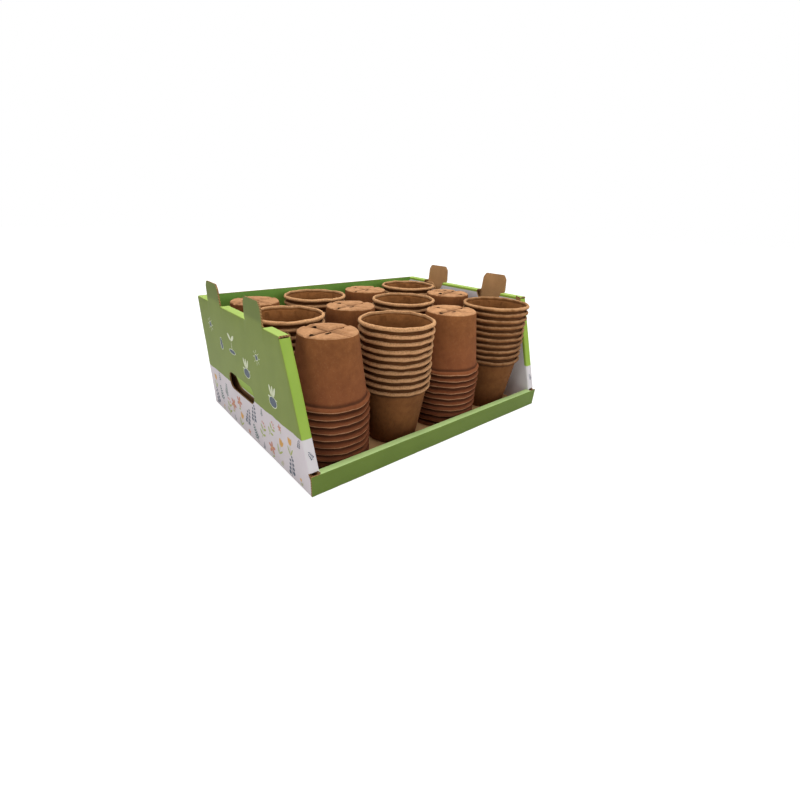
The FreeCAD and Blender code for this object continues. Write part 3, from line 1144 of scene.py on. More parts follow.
@dataclass
class BackWall(BentSheet):
    """The single back panel, printed on both sides."""

    def build(self) -> None:
        """Build the back wall."""
        s = self.sizes
        reach = s.half_width - s.sheet
        wall = standing_plane("back_wall_sheet", False, s.back, -reach, reach, 0.0,
                              s.wall_height)
        cut_across(X, steps_between(-reach, reach, self.grid))
        cut_across(Z, steps_between(0, s.wall_height, self.grid))
        self.face_out(Y, s.back, 1)
        self.thicken(wall, s.sheet, "Y")
        self.complete(wall, lambda face: Layer.STRIP if face.material_index == Layer.KRAFT
                      else None, ["back_panel"])


class Motif(Enum):
    """The small printed pictures: five sprigs for the white zone, four signs for the green."""

    COIN_BRANCH = "coin_branch"
    BLOSSOM = "blossom"
    TULIP = "tulip"
    FERN = "fern"
    BERRIES = "berries"
    SUN = "sun"
    DROP = "drop"
    SPROUT = "sprout"
    BASKET = "basket"


SPRIGS = (Motif.COIN_BRANCH, Motif.BLOSSOM, Motif.FERN, Motif.TULIP, Motif.BERRIES)
# Each sign's motif, its place along the side wall and its height in millimetres, and its size.
SIGNS = ((Motif.SUN, 108, 126, 1.2), (Motif.DROP, 74, 108, 1.1), (Motif.SPROUT, 36, 118, 1.45),
         (Motif.BASKET, -4, 98, 1.4), (Motif.SUN, -38, 120, 1.1), (Motif.BASKET, -70, 86, 1.5))


@dataclass
class MotifMaker:
    """Models each motif flat, about its own middle, with sizes in millimetres."""

    parts: list[Piece] = field(default_factory=list)
    ink_layer: float = 0.03 * MM
    line_end: float = 0.45

    def disc(self, x: float, y: float, radius: float, ink: int, layer: int = 0) -> None:
        """Add a round spot."""
        self.leaf(x, y, 2 * radius, 2 * radius, 0.0, ink, layer, 0.0)

    def leaf(self, x: float, y: float, length: float, width: float, turn: float, ink: int,
             layer: int = 0, point: float = 0.22) -> None:
        """Add a leaf about a place: an oval whose tips are drawn out.

        Args:
            x: Its middle.
            y: Its middle.
            length: Its length.
            width: Its width.
            turn: The way that its length points, in degrees.
            ink: The number of its ink.
            layer: How many layers of ink lie under it.
            point: How far its tips are drawn out, as a share of its length.
        """
        deselect_all()
        bpy.ops.mesh.primitive_circle_add(vertices=14, radius=0.5 * MM, fill_type="NGON")
        enter_edit()
        select_where("verts", lambda v: abs(v.co.x) > 0.499 * MM)
        resize((1 + point, 1, 1))
        self.keep((length, width), math.radians(turn), (x, y), layer * self.ink_layer, ink)

    def line(self, x: float, y: float, end_x: float, end_y: float, ink: int,
             width: float = 0.7) -> None:
        """Add a straight stroke that narrows to its end.

        Args:
            x: Where it starts.
            y: Where it starts.
            end_x: Where it ends.
            end_y: Where it ends.
            ink: The number of its ink.
            width: Its width at the start.
        """
        deselect_all()
        bpy.ops.mesh.primitive_plane_add(size=1.0 * MM)
        enter_edit()
        select_where("verts", lambda v: v.co.x > 0)
        resize((1, self.line_end, 1))
        self.keep((math.hypot(end_x - x, end_y - y), width), math.atan2(end_y - y, end_x - x),
                  ((x + end_x) / 2, (y + end_y) / 2), 0.0, ink)

    def keep(self, size: Pair, turn: float, middle: Pair,
             height: float, ink: int) -> None:
        """Leave edit mode, put the active part in its place and give it its ink's number.

        Args:
            size: Its length and width.
            turn: The way that its length points.
            middle: Its middle.
            height: Its height in metres.
            ink: The number of its ink.
        """
        leave_edit()
        made = bpy.context.object
        made.scale = (*size, 1.0)
        made.rotation_euler.z = turn
        made.location = (middle[0] * MM, middle[1] * MM, height)
        settle(made)
        for row in made.data.attributes.new("ink", "INT", "FACE").data:
            row.value = ink
        self.parts.append(made)

    def coin_branch(self) -> None:
        """A slate branch with round leaves in pairs."""
        self.line(0, -10, 0.6, 9, SLATE)
        for step in range(4):
            for sign in (-1, 1):
                self.disc(sign * (3.3 - 0.35 * step), -6 + 4.2 * step + 0.9 * sign,
                          2.0 - 0.22 * step, SLATE)
        self.disc(0.6, 10, 1.2, SLATE)

    def blossom(self) -> None:
        """A rust-pink flower with five petals."""
        for step in range(5):
            angle = 90 + 72 * step
            turn = math.radians(angle)
            self.leaf(4.2 * math.cos(turn), 4.2 * math.sin(turn), 6.4, 3.6, angle, RUST)
        self.disc(0, 0, 1.5, OCHRE, 1)
        self.line(0, -4, 1.2, -11, LEAF)
        self.leaf(3.0, -8.5, 4.6, 1.8, 35, LEAF)

    def tulip(self) -> None:
        """An ochre tulip with two long leaves."""
        self.line(0, -10, 0, 2, LEAF)
        for x, turn in ((-1.9, 104), (1.9, 76), (0, 90)):
            self.leaf(x, 5.5, 8.0, 3.2, turn, OCHRE)
        for sign in (-1, 1):
            self.leaf(sign * 2.9, -5, 9.0, 2.0, 90 - sign * 28, LEAF)

    def fern(self) -> None:
        """A teal fern frond."""
        self.line(0, -11, 0, 10, TEAL)
        for step in range(6):
            length = 6.0 - 0.72 * step
            for sign in (-1, 1):
                self.leaf(sign * length * 0.47, -7 + 2.9 * step + length * 0.24, length, 1.5,
                          90 - sign * 62, TEAL)

    def berries(self) -> None:
        """A yellow-green twig with rust berries."""
        self.line(-5, -8, 4, 7, LEAF)
        for x, y, turn in ((-4.6, -1.6, 118), (-0.5, 4.2, 112), (1.2, -4.4, 8), (5.0, 1.8, 12)):
            self.leaf(x, y, 6.4, 2.5, turn, LEAF)
        for x, y in ((5.2, 8.4), (2.4, 9.6), (6.6, 5.6)):
            self.disc(x, y, 1.2, RUST)

    def sun(self) -> None:
        """A pale sun with eight rays."""
        self.disc(0, 0, 3.6, PALE)
        self.disc(0, 0, 2.8, SLATE, 1)
        for step in range(8):
            turn = math.radians(45 * step)
            self.line(5 * math.cos(turn), 5 * math.sin(turn), 8 * math.cos(turn),
                      8 * math.sin(turn), PALE, 0.9)

    def drop(self) -> None:
        """A slate water drop with a pale outline."""
        for size, ink, layer in ((1.18, PALE, 0), (1.0, SLATE, 1)):
            self.disc(0, -2, 4.3 * size, ink, layer)
            self.leaf(0, 1.8, 10.5 * size, 5.6 * size, 90, ink, layer)
        self.leaf(-1.4, -2.6, 4.2, 1.0, 100, PALE, 2)

    def sprout(self) -> None:
        """A pale seedling with two leaves over a slate mound."""
        self.leaf(0, -7.6, 15.0, 4.4, 0, PALE)
        self.leaf(0, -7.6, 13.6, 3.4, 0, SLATE, 1)
        self.line(0, -6, 0, 3, PALE, 0.9)
        for sign in (-1, 1):
            self.leaf(sign * 3.6, 4.6, 8.0, 3.2, 90 - sign * 54, PALE)

    def basket(self) -> None:
        """A slate bowl with a pale rim and three pale leaves."""
        self.leaf(0, -4.4, 13.0, 9.0, 0, PALE)
        self.leaf(0, -4.4, 11.8, 7.9, 0, SLATE, 1)
        self.line(-7.2, -1.4, 7.2, -1.4, PALE, 1.3)
        for x, turn in ((-3.2, 112), (0, 90), (3.2, 68)):
            self.leaf(x, 4.0, 8.4, 2.5, turn, PALE, 1)

    def model_all(self) -> dict[Motif, Piece]:
        """Model every motif once."""
        made = {}
        for motif in Motif:
            getattr(self, motif.value)()
            made[motif] = join(self.parts, f"motif_{motif.value}")
            self.parts = []
        return made


@dataclass(frozen=True)
class PrintedFace:
    """One wall's outer face.

    Start gives where the wall starts along its length at a height, and point gives the place
    of a length and a height. Right is to the right of someone who faces the wall.
    """

    name: str
    axis: str
    start: Callable[[float], float]
    end: float
    point: Callable[[float, float], Vector]
    right: Vector
    normal: Vector


@dataclass
class WallPrint:
    """The print on the outside of the walls: sprigs below the border and signs above it."""

    sizes: TraySizes
    inks: Sequence[Material]
    waver: Texture
    motifs: dict[Motif, Piece]
    chance: random.Random = field(default_factory=lambda: random.Random(12))
    proud: float = 0.09 * MM
    column: float = 23 * MM
    end_gap: float = 4 * MM
    motif_reach: float = 11 * MM
    hole_gap: float = 48 * MM
    hole_floor: float = 45 * MM
    size_spread: Pair = (0.92, 1.08)
    place_spread: Pair = (-2, 2)
    turn_spread: Pair = (-32, 32)
    first_column: float = 0.55
    strip_height: float = 43 * MM
    strip_size: float = 0.46
    strip_turn: float = 24.0
    back_spread: float = 1.4
    back_size: float = 1.1
    half_drop: tuple = (((15.0, 1.28), (40.0, 1.2)),
                        ((27.5, 1.3), (52.5, 0.6), (6.5, 0.5)))

    def stamp(self, motif: Motif, origin: Vector, right: Vector, normal: Vector, size: float,
              turn: float = 0.0) -> Piece:
        """Copy a motif to its place on a face of the tray.

        Args:
            motif: The motif.
            origin: Its middle.
            right: The way that is to its right.
            normal: The way that it faces.
            size: Its size, as a share of the modelled one.
            turn: Its turn in degrees.

        Returns:
            The copy.
        """
        stamp = copy_of(self.motifs[motif], "stamp")
        axes = Matrix((right, normal.cross(right), normal)).transposed().to_4x4()
        stamp.matrix_world = (Matrix.Translation(origin) @ axes
                              @ Matrix.Rotation(math.radians(turn), 4, "Z")
                              @ Matrix.Diagonal((size, size, 1.0, 1.0)))
        settle(stamp)
        return stamp

    def sprigs(self, face: PrintedFace) -> list[Piece]:
        """Print the sprigs of the white zone in staggered columns.

        Args:
            face: The wall's face.

        Returns:
            The stamps.
        """
        stamps = []
        for column in range(int((face.end - face.start(0.0)) // self.column)):
            for row, (height, scale) in enumerate(self.half_drop[column % 2]):
                size = self.chance.uniform(*self.size_spread) * scale
                z = height * MM
                along = (face.end - (column + self.first_column) * self.column
                         + self.chance.uniform(*self.place_spread) * MM)
                turn = self.chance.uniform(*self.turn_spread)
                reach = self.motif_reach * size
                by_hole = (face.axis == "X" and z > self.hole_floor
                           and abs(along - self.sizes.hole_middle) < self.hole_gap)
                if along - reach >= face.start(z + reach) and not by_hole:
                    motif = SPRIGS[(2 * column + 3 * row) % len(SPRIGS)]
                    stamps.append(self.stamp(motif, face.point(along, z), face.right,
                                             face.normal, size, turn))
        return stamps

    def strip_sprig(self, out: float) -> Piece:
        """Print the small branch on a side wall's leaning strip.

        Args:
            out: The sign of X on the wall's outer side.

        Returns:
            The stamp.
        """
        s = self.sizes
        lean = Vector((0, -1, s.lean)).normalized()
        z = self.strip_height
        foot = Vector((out * (s.half_width + s.inner_face) / 2, s.slant_at(z), z))
        return self.stamp(Motif.COIN_BRANCH, foot + self.proud * lean, Vector((1, 0, 0)), lean,
                          self.strip_size, self.strip_turn)

    def build_face(self, face: PrintedFace,
                   signs: Iterable[tuple[Motif, float, float, float]]) -> None:
        """Print one wall's outer face.

        Args:
            face: The wall's face.
            signs: Each sign's motif, length, height and size.
        """
        stamps = self.sprigs(face)
        stamps += [self.stamp(motif, face.point(along, z), face.right, face.normal, size)
                   for motif, along, z, size in signs]
        if face.axis == "X":
            stamps.append(self.strip_sprig(face.normal.x))
        whole = join(stamps, face.name)
        dress(whole, self.inks)
        for polygon, row in zip(whole.data.polygons, whole.data.attributes["ink"].data):
            polygon.material_index = row.value
        wave(whole, self.waver, BOARD_WAVER, face.axis)
        put_in_frame(whole, "tray", Slot.PRINT)

    def build(self) -> None:
        """Print both side walls and the back."""
        s = self.sizes
        signs = [(motif, y * MM, z * MM, size) for motif, y, z, size in SIGNS]
        for side in Side:
            out = side.value
            self.build_face(PrintedFace(
                f"{side.word}_wall_print", "X", s.slant_at, s.back - self.end_gap,
                lambda along, z: Vector((out * (s.half_width + self.proud), along, z)),
                Vector((0, out, 0)), Vector((out, 0, 0))), signs)
        self.build_face(PrintedFace(
            "back_wall_print", "Y", lambda z: -s.half_width + self.end_gap,
            s.half_width - self.end_gap,
            lambda along, z: Vector((along, s.back + self.proud, z)),
            Vector((-1, 0, 0)), Vector((0, 1, 0))),
            [(motif, along * self.back_spread, z, size * self.back_size)
             for motif, along, z, size in signs])
        for motif in self.motifs.values():
            bpy.data.objects.remove(motif)


@dataclass(frozen=True)
class Detail:
    """How finely a pot is turned: rings as shares of a radius or height, and arcs' steps."""

    sides: int
    base_rings: tuple[float, ...]
    outer_rings: tuple[float, ...]
    inner_rings: tuple[float, ...]
    floor_rings: tuple[float, ...]
    foot_steps: int
    cove_steps: int
    bead_steps: int
    lip_steps: int
    corner_steps: int


TOP_POT = Detail(112, (0.2, 0.4, 0.6, 0.76), (0.14, 0.28, 0.42, 0.56, 0.70, 0.82),
                 (0.8, 0.6, 0.4, 0.2), (0.6, 0.3), 4, 3, 7, 3, 3)
NESTED_POT = Detail(80, (), (0.4, 0.75), (0.5,), (), 2, 2, 5, 1, 1)


@dataclass
class PotShape:
    """A moulded pot's profile, in metres, with its base's middle at zero and its mouth up."""

    height: float
    rim_radius: float
    base_radius: float
    neck_radius: float
    neck_height: float
    wall: float = 0.84 * MM
    floor: float = 2.4 * MM
    foot_round: float = 2.4 * MM
    cove: float = 1.7 * MM
    lip_round: float = 1.1 * MM
    lip_inset: float = 0.3 * MM
    floor_corner: float = 2.2 * MM
    step_depth: float = 4.6 * MM
    step_width: float = 0.55 * MM
    rim_reach: float = 0.6 * MM
    rim_blur: float = 1.6 * MM
    rim_below: float = 1.5 * MM
    # Painted shade on the rim bead's lower part: it keeps only a share of the pale rim colour,
    # rising to all of it over the bead.
    rim_rise: float = 3.2 * MM
    rim_foot_dryness: float = 0.30
    edge_band: float = 3.0 * MM
    edge_blur: float = 1.8 * MM
    foot_zone: float = 2.3 * MM
    foot_blur: float = 0.7 * MM
    # Painted shade in the base's drain valleys, darker further up into them.
    valley_start: float = 0.1 * MM
    valley_rise: float = 1.7 * MM
    valley_damp: float = 0.40
    # Painted shade on the outer wall in a band under the rim, darkest just below it.
    damp_band: float = 4.6 * MM
    neck_damp: float = 0.55

    @property
    def draft(self) -> float:
        """How much the wall widens for each unit that it rises."""
        return (self.neck_radius - self.base_radius) / self.neck_height

    def outer(self, z: float) -> float:
        """The outer wall's radius at a height."""
        return self.base_radius + self.draft * z

    def arc(self, centre: Pair, radius: float, start: float, end: float,
            steps: int) -> list[Pair]:
        """Points on an arc.

        Args:
            centre: Its centre.
            radius: Its radius.
            start: The angle that it starts at, in degrees.
            end: The angle that it ends at.
            steps: How many steps it has.

        Returns:
            Radius and height of each point.
        """
        angles = [math.radians(start + (end - start) * index / steps)
                  for index in range(steps + 1)]
        return [(centre[0] + radius * math.cos(angle), centre[1] + radius * math.sin(angle))
                for angle in angles]

    def profile(self, detail: Detail) -> list[Pair]:
        """The half profile, from the base's middle round the rim to the floor's middle.

        Args:
            detail: How finely it is stepped.

        Returns:
            Radius and height of each ring.
        """
        foot, cove, lip, corner = (self.foot_round, self.cove, self.lip_round,
                                   self.floor_corner)
        bead = (self.height - self.neck_height) / 2
        points = [(self.base_radius * share, 0.0) for share in detail.base_rings]
        points += self.arc((self.outer(foot) - foot, foot), foot, -90,
                           -math.degrees(math.atan(self.draft)), detail.foot_steps)
        points += [(self.outer(z), z) for z in
                   (*[self.height * share for share in detail.outer_rings],
                    self.neck_height - self.damp_band)]
        points += self.arc((self.outer(self.neck_height - cove) + cove,
                            self.neck_height - cove), cove, 180, 95, detail.cove_steps)
        points += self.arc((self.rim_radius - bead, self.neck_height + bead), bead, -75, 95,
                           detail.bead_steps)
        mouth = self.outer(self.height) - self.wall + self.lip_inset
        points += self.arc((mouth + lip, self.height - lip), lip, 95, 175, detail.lip_steps)
        step_high = self.height - self.step_depth
        points += [(mouth, step_high),
                   (self.outer(step_high - self.step_width) - self.wall,
                    step_high - self.step_width * 1.6)]
        points += [(self.outer(self.height * share) - self.wall, self.height * share)
                   for share in detail.inner_rings]
        points += self.arc((self.outer(self.floor + corner) - self.wall - corner,
                            self.floor + corner), corner, 0, -90, detail.corner_steps)
        return points + [(self.base_radius * share, self.floor)
                         for share in detail.floor_rings]

    def turn(self, name: str, detail: Detail) -> Piece:
        """Model the pot: a disc drawn up ring by ring, as on a lathe.

        Args:
            name: The new object's name.
            detail: How finely it is turned.

        Returns:
            The pot, its mouth up and its base's middle at zero.
        """
        deselect_all()
        rings = self.profile(detail)
        radius, low = rings[0]
        bpy.ops.mesh.primitive_circle_add(vertices=detail.sides, radius=radius,
                                          fill_type="TRIFAN", location=(0, 0, low))
        pot = bpy.context.object
        pot.name = name
        enter_edit()
        select_where("edges", lambda edge: edge.is_boundary)
        for next_radius, next_height in rings[1:]:
            extrude(z=next_height - low)
            scale = next_radius / radius
            resize((scale, scale, 1.0))
            radius, low = next_radius, next_height
        extrude()
        bpy.ops.mesh.merge(type="CENTER")
        face_outside()
        leave_edit()
        return pot

    def dryness(self, radius: float, z: float) -> Triple:
        """How dry and pale the fibre is at a place, with painted shade on the rim bead's lower
        part.

        Args:
            radius: The place's distance from the pot's axis.
            z: Its height.

        Returns:
            The shares on the rim, at its upper edge and on the base.
        """
        if z <= self.neck_height - self.rim_below:
            rim = 0.0
        else:
            rim = share_of((radius - self.neck_radius - self.rim_reach) / self.rim_blur)
            # Painted shade: the bead's lower part keeps less of the pale rim colour than its
            # top.
            rim *= (self.rim_foot_dryness + (1.0 - self.rim_foot_dryness)
                    * share_of((z - self.neck_height) / self.rim_rise))
        edge = share_of((z - self.height + self.edge_band) / self.edge_blur)
        base = share_of((self.foot_zone - z) / self.foot_blur)
        return rim, edge, base

    def crevice(self, radius: float, z: float) -> float:
        """How much of its tone the fibre keeps: painted shade darkens a band of the outer wall
        under the rim, and the base's drain valleys.

        Args:
            radius: The place's distance from the pot's axis.
            z: Its height.

        Returns:
            The share that it keeps.
        """
        # Painted shade in the base's drain valleys.
        if z < self.foot_zone and radius < self.base_radius:
            return 1.0 - self.valley_damp * share_of((z - self.valley_start)
                                                     / self.valley_rise)
        # Painted shade in a band of the outer wall under the rim.
        outside = radius > self.outer(z) - 0.4 * self.wall
        if z > self.neck_height - 0.2 * MM or not outside:
            return 1.0
        below = (z - self.neck_height + self.damp_band) / (0.5 * self.damp_band)
        return 1.0 - self.neck_damp * share_of(below)


@dataclass
class Pots:
    """The twelve stacks: the pot on top of each, and the nine nested below it."""

    shape: PotShape
    materials: tuple[Material, Material]
    pitch: float
    chance: random.Random = field(default_factory=lambda: random.Random(41))
    round_holes: tuple = ((4.1 * MM, (0, -21.5 * MM)), (3.6 * MM, (-21.5 * MM, 0)))
    slots: tuple = ((-9.5 * MM, 9.5 * MM), (15.0 * MM, 5.2 * MM))
    slot_size: Pair = (4.2 * MM, 8.6 * MM)
    cutter_depth: float = 10 * MM
    valley_radius: float = 8.0 * MM
    valley_depth: float = 1.85 * MM
    base_dryness: float = 0.56
    foot_warmth: float = 0.35
    rim_waver: float = 2.4 * MM
    waver_size: float = 17 * MM
    waver_band: float = 0.2
    waver_least: float = 0.12
    waver_at_foot: float = 0.45
    waver_foot: float = 7 * MM
    nest_turn: float = 2.4
    nest_gap: float = 0.22 * MM
    nest_tilt: float = 0.008
    wave_texture: Optional[Texture] = None

    def mark(self, pot: Piece, tone: float, warm: float, pale: float,
             pale_edge: float) -> None:
        """Give a pot, whose base is at zero, the attributes that its finish reads.

        Args:
            pot: The pot.
            tone: How light its fibre is, about 1.
            warm: How red its fibre is, from 0 to 1.
            pale: How pale its rim dries, from 0 to 1.
            pale_edge: How pale the rim's upper edge dries, from 0 to 1.
        """
        mesh, height = pot.data, self.shape.height
        values: dict[str, list[float]] = {"dry": [], "tone": [], "warm": []}
        rim = pot.vertex_groups.new(name="rim")
        for vertex in mesh.vertices:
            z = vertex.co.z
            radius = Vector(vertex.co[:2]).length
            rim_dry, edge_dry, base_dry = self.shape.dryness(radius, z)
            values["dry"].append(max(pale * rim_dry, pale_edge * edge_dry,
                                     self.base_dryness * base_dry))
            # Tone carries painted shade under the rim and in the base's drain valleys.
            values["tone"].append(tone * self.shape.crevice(radius, z))
            values["warm"].append(warm * (self.foot_warmth
                                          + (1.0 - self.foot_warmth) * z / height))
            upper = min(1.0, (z - height * (1.0 - self.waver_band))
                        / (height * self.waver_band))
            foot = self.waver_at_foot * (1.0 - z / self.waver_foot)
            rim.add([vertex.index], max(self.waver_least, foot, upper), "REPLACE")
        for name, shares in values.items():
            mesh.attributes.new(name, "FLOAT", "POINT").data.foreach_set("value", shares)

    def drain_cutter(self, width: float, length: float, place: Pair) -> Piece:
        """A drain hole's cutter, whose walls take a dark copy of the fibre: painted shade inside
        the hole.
        """
        tool = round_ended_prism(24, width, length, self.cutter_depth, (*place, 0), (0, 0, 0), X)
        dress(tool, self.materials)
        tool.data.polygons.foreach_set("material_index", [1] * len(tool.data.polygons))
        return tool

    def model_top_pot(self) -> Piece:
        """The top pot with its drain valleys and holes, mouth up, base at zero."""
        pot = self.shape.turn("top_pot_master", TOP_POT)
        dress(pot, self.materials)
        for turn in (0.0, math.pi / 2):
            deselect_all()
            bpy.ops.mesh.primitive_cylinder_add(
                vertices=64, radius=self.valley_radius, depth=2.4 * self.shape.base_radius,
                location=(0, 0, self.valley_depth - self.valley_radius),
                rotation=(0, math.pi / 2, turn))
            valley = bpy.context.object
            settle(valley)
            carve(pot, valley)
        for radius, place in self.round_holes:
            carve(pot, self.drain_cutter(2 * radius, 2 * radius, place))
        for place in self.slots:
            carve(pot, self.drain_cutter(*self.slot_size, place))
        pick(pot)
        enter_edit()
        weld()
        leave_edit()
        return pot

    def finish_piece(self, piece: Piece, node: str, body: str) -> None:
        """Give a pot piece its uneven rims and its place in the frame.

        Args:
            piece: One pot or a nest of them.
            node: The frame's node that it replaces.
            body: The body that it rides on.
        """
        wave(piece, self.wave_texture, self.rim_waver, "RGB_TO_XYZ", "rim")
        shade_smooth(piece, 42)
        put_in_frame(piece, body, Slot.FIBRE, [node])

    def place_pot(self, pot: Piece, foot: Vector, upright: bool, turn: float,
                  tilt: float = 0.0) -> None:
        """Stand a pot at its place and settle it.

        Args:
            pot: The pot.
            foot: Where the middle of its base goes.
            upright: True for mouth up.
            turn: Its turn about its own axis.
            tilt: How far it leans.
        """
        flip = Matrix.Rotation(tilt + (0 if upright else math.pi), 4, "X")
        pot.matrix_world = Matrix.Translation(foot) @ Matrix.Rotation(turn, 4, "Z") @ flip
        settle(pot)

    def build(self) -> None:
        """Build every stack."""
        self.wave_texture = bpy.data.textures.new("fibre_waver", type="CLOUDS")
        self.wave_texture.cloud_type = "COLOR"
        self.wave_texture.noise_scale = self.waver_size
        masters = (self.model_top_pot(), self.shape.turn("nested_pot_master", NESTED_POT))
        dress(masters[1], self.materials)
        for row, row_name in enumerate(STACK_LOOKS):
            for column in range(COLUMNS):
                self.build_stack(row_name, row, column, masters)
        for master in masters:
            bpy.data.objects.remove(master)

    def build_stack(self, row_name: str, row: int, column: int,
                    masters: tuple[Piece, Piece]) -> None:
        """Build one stack from copies of the two modelled pots.

        Args:
            row_name: The row's name.
            row: The row's number, from the front.
            column: The column's number, from the left.
            masters: The top pot and the nested pot.
        """
        name = f"{row_name}_{column + 1}"
        upright = (row + column) % 2 == 1
        degrees, lightness, dried = STACK_LOOKS[row_name][column]
        turn = math.radians(degrees)
        low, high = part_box(f"top_pot_{name}")
        centre = (low + high) / 2
        pot = copy_of(masters[0], f"pot_{name}")
        tone = lightness * self.chance.uniform(0.97, 1.05)
        if upright:
            self.mark(pot, tone, 0.0, 0.95 * dried, 0.9 * dried)
        else:
            self.mark(pot, tone, 0.75, 0.08, 0.65)
        self.place_pot(pot, Vector((centre.x, centre.y, low.z if upright else high.z)), upright,
                       turn)
        self.finish_piece(pot, f"top_pot_{name}", f"pot_{name}")
        low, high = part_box(f"nested_pots_{name}")
        copies = []
        for index in range(NESTED_IN_STACK):
            uncovered = index == (NESTED_IN_STACK - 1 if upright else 0)
            nested = copy_of(masters[0 if uncovered else 1], f"nested_{name}_{index}")
            depth = index / (NESTED_IN_STACK - 1)
            # Pots lower in a stack get a lower tone: painted shade deeper in the tray.
            if upright:
                tone, warm, pale, edge = 0.70 + 0.28 * depth, 0.12, 0.80 * dried, 0.9 * dried
            else:
                tone, warm, pale, edge = 0.84 - 0.14 * depth, 0.8 + 0.2 * depth, 0.06, 0.72
            self.mark(nested, tone * lightness * self.chance.uniform(0.95, 1.05), warm, pale,
                      edge)
            foot = low.z + index * self.pitch if upright else high.z - index * self.pitch
            foot += self.chance.uniform(-self.nest_gap, self.nest_gap)
            self.place_pot(nested, Vector((centre.x, centre.y, foot)), upright,
                           turn + self.nest_turn * index,
                           self.chance.uniform(-self.nest_tilt, self.nest_tilt))
            copies.append(nested)
        stack = join(copies, f"pots_below_{name}")
        self.finish_piece(stack, f"nested_pots_{name}", f"stack_{name}")


@dataclass
class Studio:
    """The camera at the photograph's viewing angle, the lights, the floor and the backdrop."""

    camera_place: Triple = (-0.3550, -0.4341, 0.2585)
    camera_turn: Triple = (62.071, -1.3206, -37.799)
    lens: float = 17.737
    sensor: float = 36.0
    shift: Pair = (0.0361, 0.0299)
    lit_point: Triple = (0, 0, 0.06)
    lamps: tuple = (("top_light", (0.10, 0.05, 1.40), 1.0, 18.0),
                    ("front_light", (0.30, -1.50, 0.60), 1.2, 9.5),
                    ("side_light", (-1.50, -0.10, 0.50), 1.0, 6.5))
    floor_size: float = 14.0
    floor_drop: float = 0.4 * MM

    def build(self) -> None:
        """Build the studio."""
        scene = bpy.context.scene
        data = bpy.data.cameras.new("camera")
        data.lens = self.lens
        data.sensor_width = self.sensor
        data.shift_x, data.shift_y = self.shift
        data.clip_start = 10 * MM
        camera = bpy.data.objects.new("camera", data)
        camera.location = self.camera_place
        camera.rotation_euler = [math.radians(angle) for angle in self.camera_turn]
        scene.collection.objects.link(camera)
        scene.camera = camera
        scene.view_settings.view_transform = "Standard"
        for lamp in self.lamps:
            self.light(*lamp)
        self.world()
        self.floor()

    def light(self, name: str, place: Triple, size: float,
              power: float) -> None:
        """Add a square lamp that faces the object.

        Args:
            name: Its name.
            place: Its place.
            size: Its side.
            power: Its power in watts.
        """
        data = bpy.data.lights.new(name, "AREA")
        data.size = size
        data.energy = power
        lamp = bpy.data.objects.new(name, data)
        lamp.location = place
        aim = Vector(self.lit_point) - Vector(place)
        lamp.rotation_euler = aim.to_track_quat("-Z", "Y").to_euler()
        bpy.context.scene.collection.objects.link(lamp)

    def world(self) -> None:
        """A pale world that shows white to the camera and lights softly."""
        world = bpy.data.worlds.new("soft_daylight")
        world.use_nodes = True
        bpy.context.scene.world = world
        nodes = Nodes(world.node_tree)
        path = nodes.add("LightPath").outputs["Is Camera Ray"]
        shade = nodes.add("Background", {"Color": (1.0, 1.0, 1.0),
                                         "Strength": nodes.spread(path, 0.30, 1.0)})
        nodes.add("OutputWorld", {"Surface": shade.outputs[0]})

    def floor(self) -> None:
        """A wide pale floor that keeps the object's shadow and is white far from it."""
        deselect_all()
        bpy.ops.mesh.primitive_plane_add(size=self.floor_size, location=(0, 0, -self.floor_drop))
        floor = bpy.context.object
        floor.name = "studio_floor"
        nodes = Finish("pale_floor")
        bounce = nodes.add("BsdfPrincipled", {"Base Color": (0.80, 0.80, 0.80),
                                              "Roughness": 0.9})
        shaded = nodes.add("BsdfDiffuse", {"Color": (0.30, 0.30, 0.30)})
        distance = nodes.add("VectorMath", {0: nodes.place}, operation="LENGTH").outputs["Value"]
        glow = nodes.add("Emission", {"Color": (1.0, 1.0, 1.0),
                                      "Strength": nodes.ramp(distance, 0.35, 1.3, 0.86, 1.05)})
        lit = nodes.add("AddShader", {0: shaded.outputs[0], 1: glow.outputs[0]})
        path = nodes.add("LightPath").outputs["Is Camera Ray"]
        seen = nodes.add("MixShader", {0: path, 1: bounce.outputs[0], 2: lit.outputs[0]})
        dress(floor, [nodes.close(seen)])


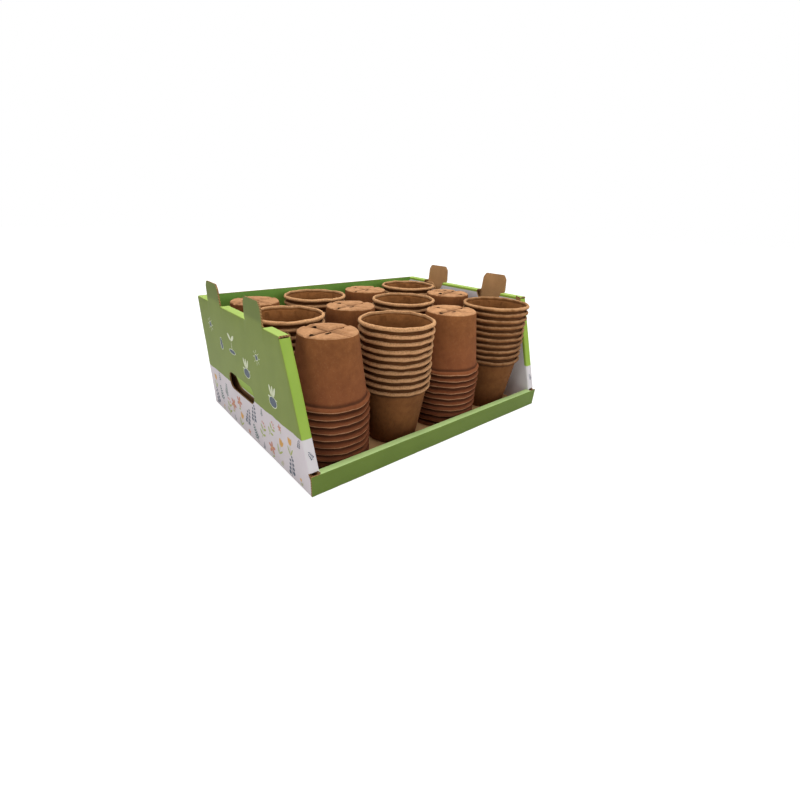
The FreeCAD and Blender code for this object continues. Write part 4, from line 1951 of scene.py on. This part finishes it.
def build_tray(board: Tree, kraft: Material, cut_edge: Material) -> None:
    """Build the tray's bent sheets and their print.

    Args:
        board: The node group of the board's grain.
        kraft: The finish of bare kraft.
        cut_edge: The finish of a cut edge.
    """
    waver = bpy.data.textures.new("board_waver", type="CLOUDS")
    waver.noise_scale = 90 * MM
    sizes = TraySizes.read()

    def print_on(green: str, name: str, white: str = "D8CFD4", border: float = PRINT_BORDER,
                 flutes: Pair = ALONG_Y) -> Material:
        """A printed finish from its colours' codes."""
        return PrintedBoard(board, name, border, srgb(green), srgb(white), flutes).material()

    # One green ink in lit and shaded copies: paler on strips that face up, a painted highlight;
    # darker olive on the walls' outer faces, painted shade; mid green on the leaning strips.
    top = print_on("A4BE5E", "pale_green_top_strip", border=0.0)
    walls = BoardFinish(print_on("78863F", "olive_outer_face", "CDC4C8"), kraft, cut_edge,
                        print_on("8CA93F", "green_leaning_strip", "C9C4C6"), top,
                        print_on("DCD8DA", "white_inner_face", border=0.0))
    for side in Side:
        SideWall(sizes, walls, waver, side=side).build()
    lip_face = print_on("5D7229", "green_lip", border=0.0, flutes=ALONG_X)
    # A paler copy of the lip's green on its top: painted highlight.
    lip_top = print_on("A9C37E", "pale_lip_top", border=0.0, flutes=ALONG_X)
    Lip(sizes, BoardFinish(lip_face, kraft, cut_edge, lip_face, lip_top, kraft), waver).build()
    back_face = print_on("7E9A44", "green_back_face", flutes=ALONG_X)
    back_inside = print_on("6F9B40", "green_back_inside", border=0.0, flutes=ALONG_X)
    BackWall(sizes, BoardFinish(back_face, kraft, cut_edge, back_inside, top, kraft),
             waver).build()
    inks = [PrintInk(board, f"{name}_ink", srgb(code)).material()
            for name, code in INKS.items()]
    WallPrint(sizes, inks, waver, MotifMaker().model_all()).build()


def build_pots() -> None:
    """Build the pots, with their sizes read from the frame."""
    group = build_fibre_group()
    fibre = PotFibre(group).material()
    # A dark copy of the fibre for the drain holes' walls: painted shade.
    hole_shade_fibre = PotFibre(group, *[srgb(code) for code in (
        "3A2418", "2A190F", "2A190F", "4A2F1C", "4A2F1C", "4A2F1C", "1C110A")],
                    "damp_fibre").material()
    low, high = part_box("top_pot_front_2")
    height, rim_radius = high.z - low.z, (high.x - low.x) / 2
    shape = PotShape(height=height, rim_radius=rim_radius, base_radius=31.8 * MM,
                     neck_radius=rim_radius - 3.9 * MM, neck_height=height - 4.7 * MM)
    low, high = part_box("nested_pots_front_2")
    pitch = (high.z - low.z - height) / (NESTED_IN_STACK - 1)
    Pots(shape, (fibre, hole_shade_fibre), pitch).build()


def main() -> None:
    """Build the tray's dressing, the pots and the studio in order."""
    logging.basicConfig(level=logging.INFO, format="%(message)s")
    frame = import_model()
    board = build_board_group()
    kraft = KraftBoard(board, "bare_kraft", srgb("C69869"), srgb("AB8056")).material()
    cut_edge = KraftBoard(board, "cut_edge", srgb("9A7448"), srgb("5E3E22"), True).material()
    for name, node in frame["nodes"].items():
        if "pot" not in name:
            dress(node, [kraft])
    build_tray(board, kraft, cut_edge)
    build_pots()
    Studio().build()


if __name__ == "__main__":
    main()
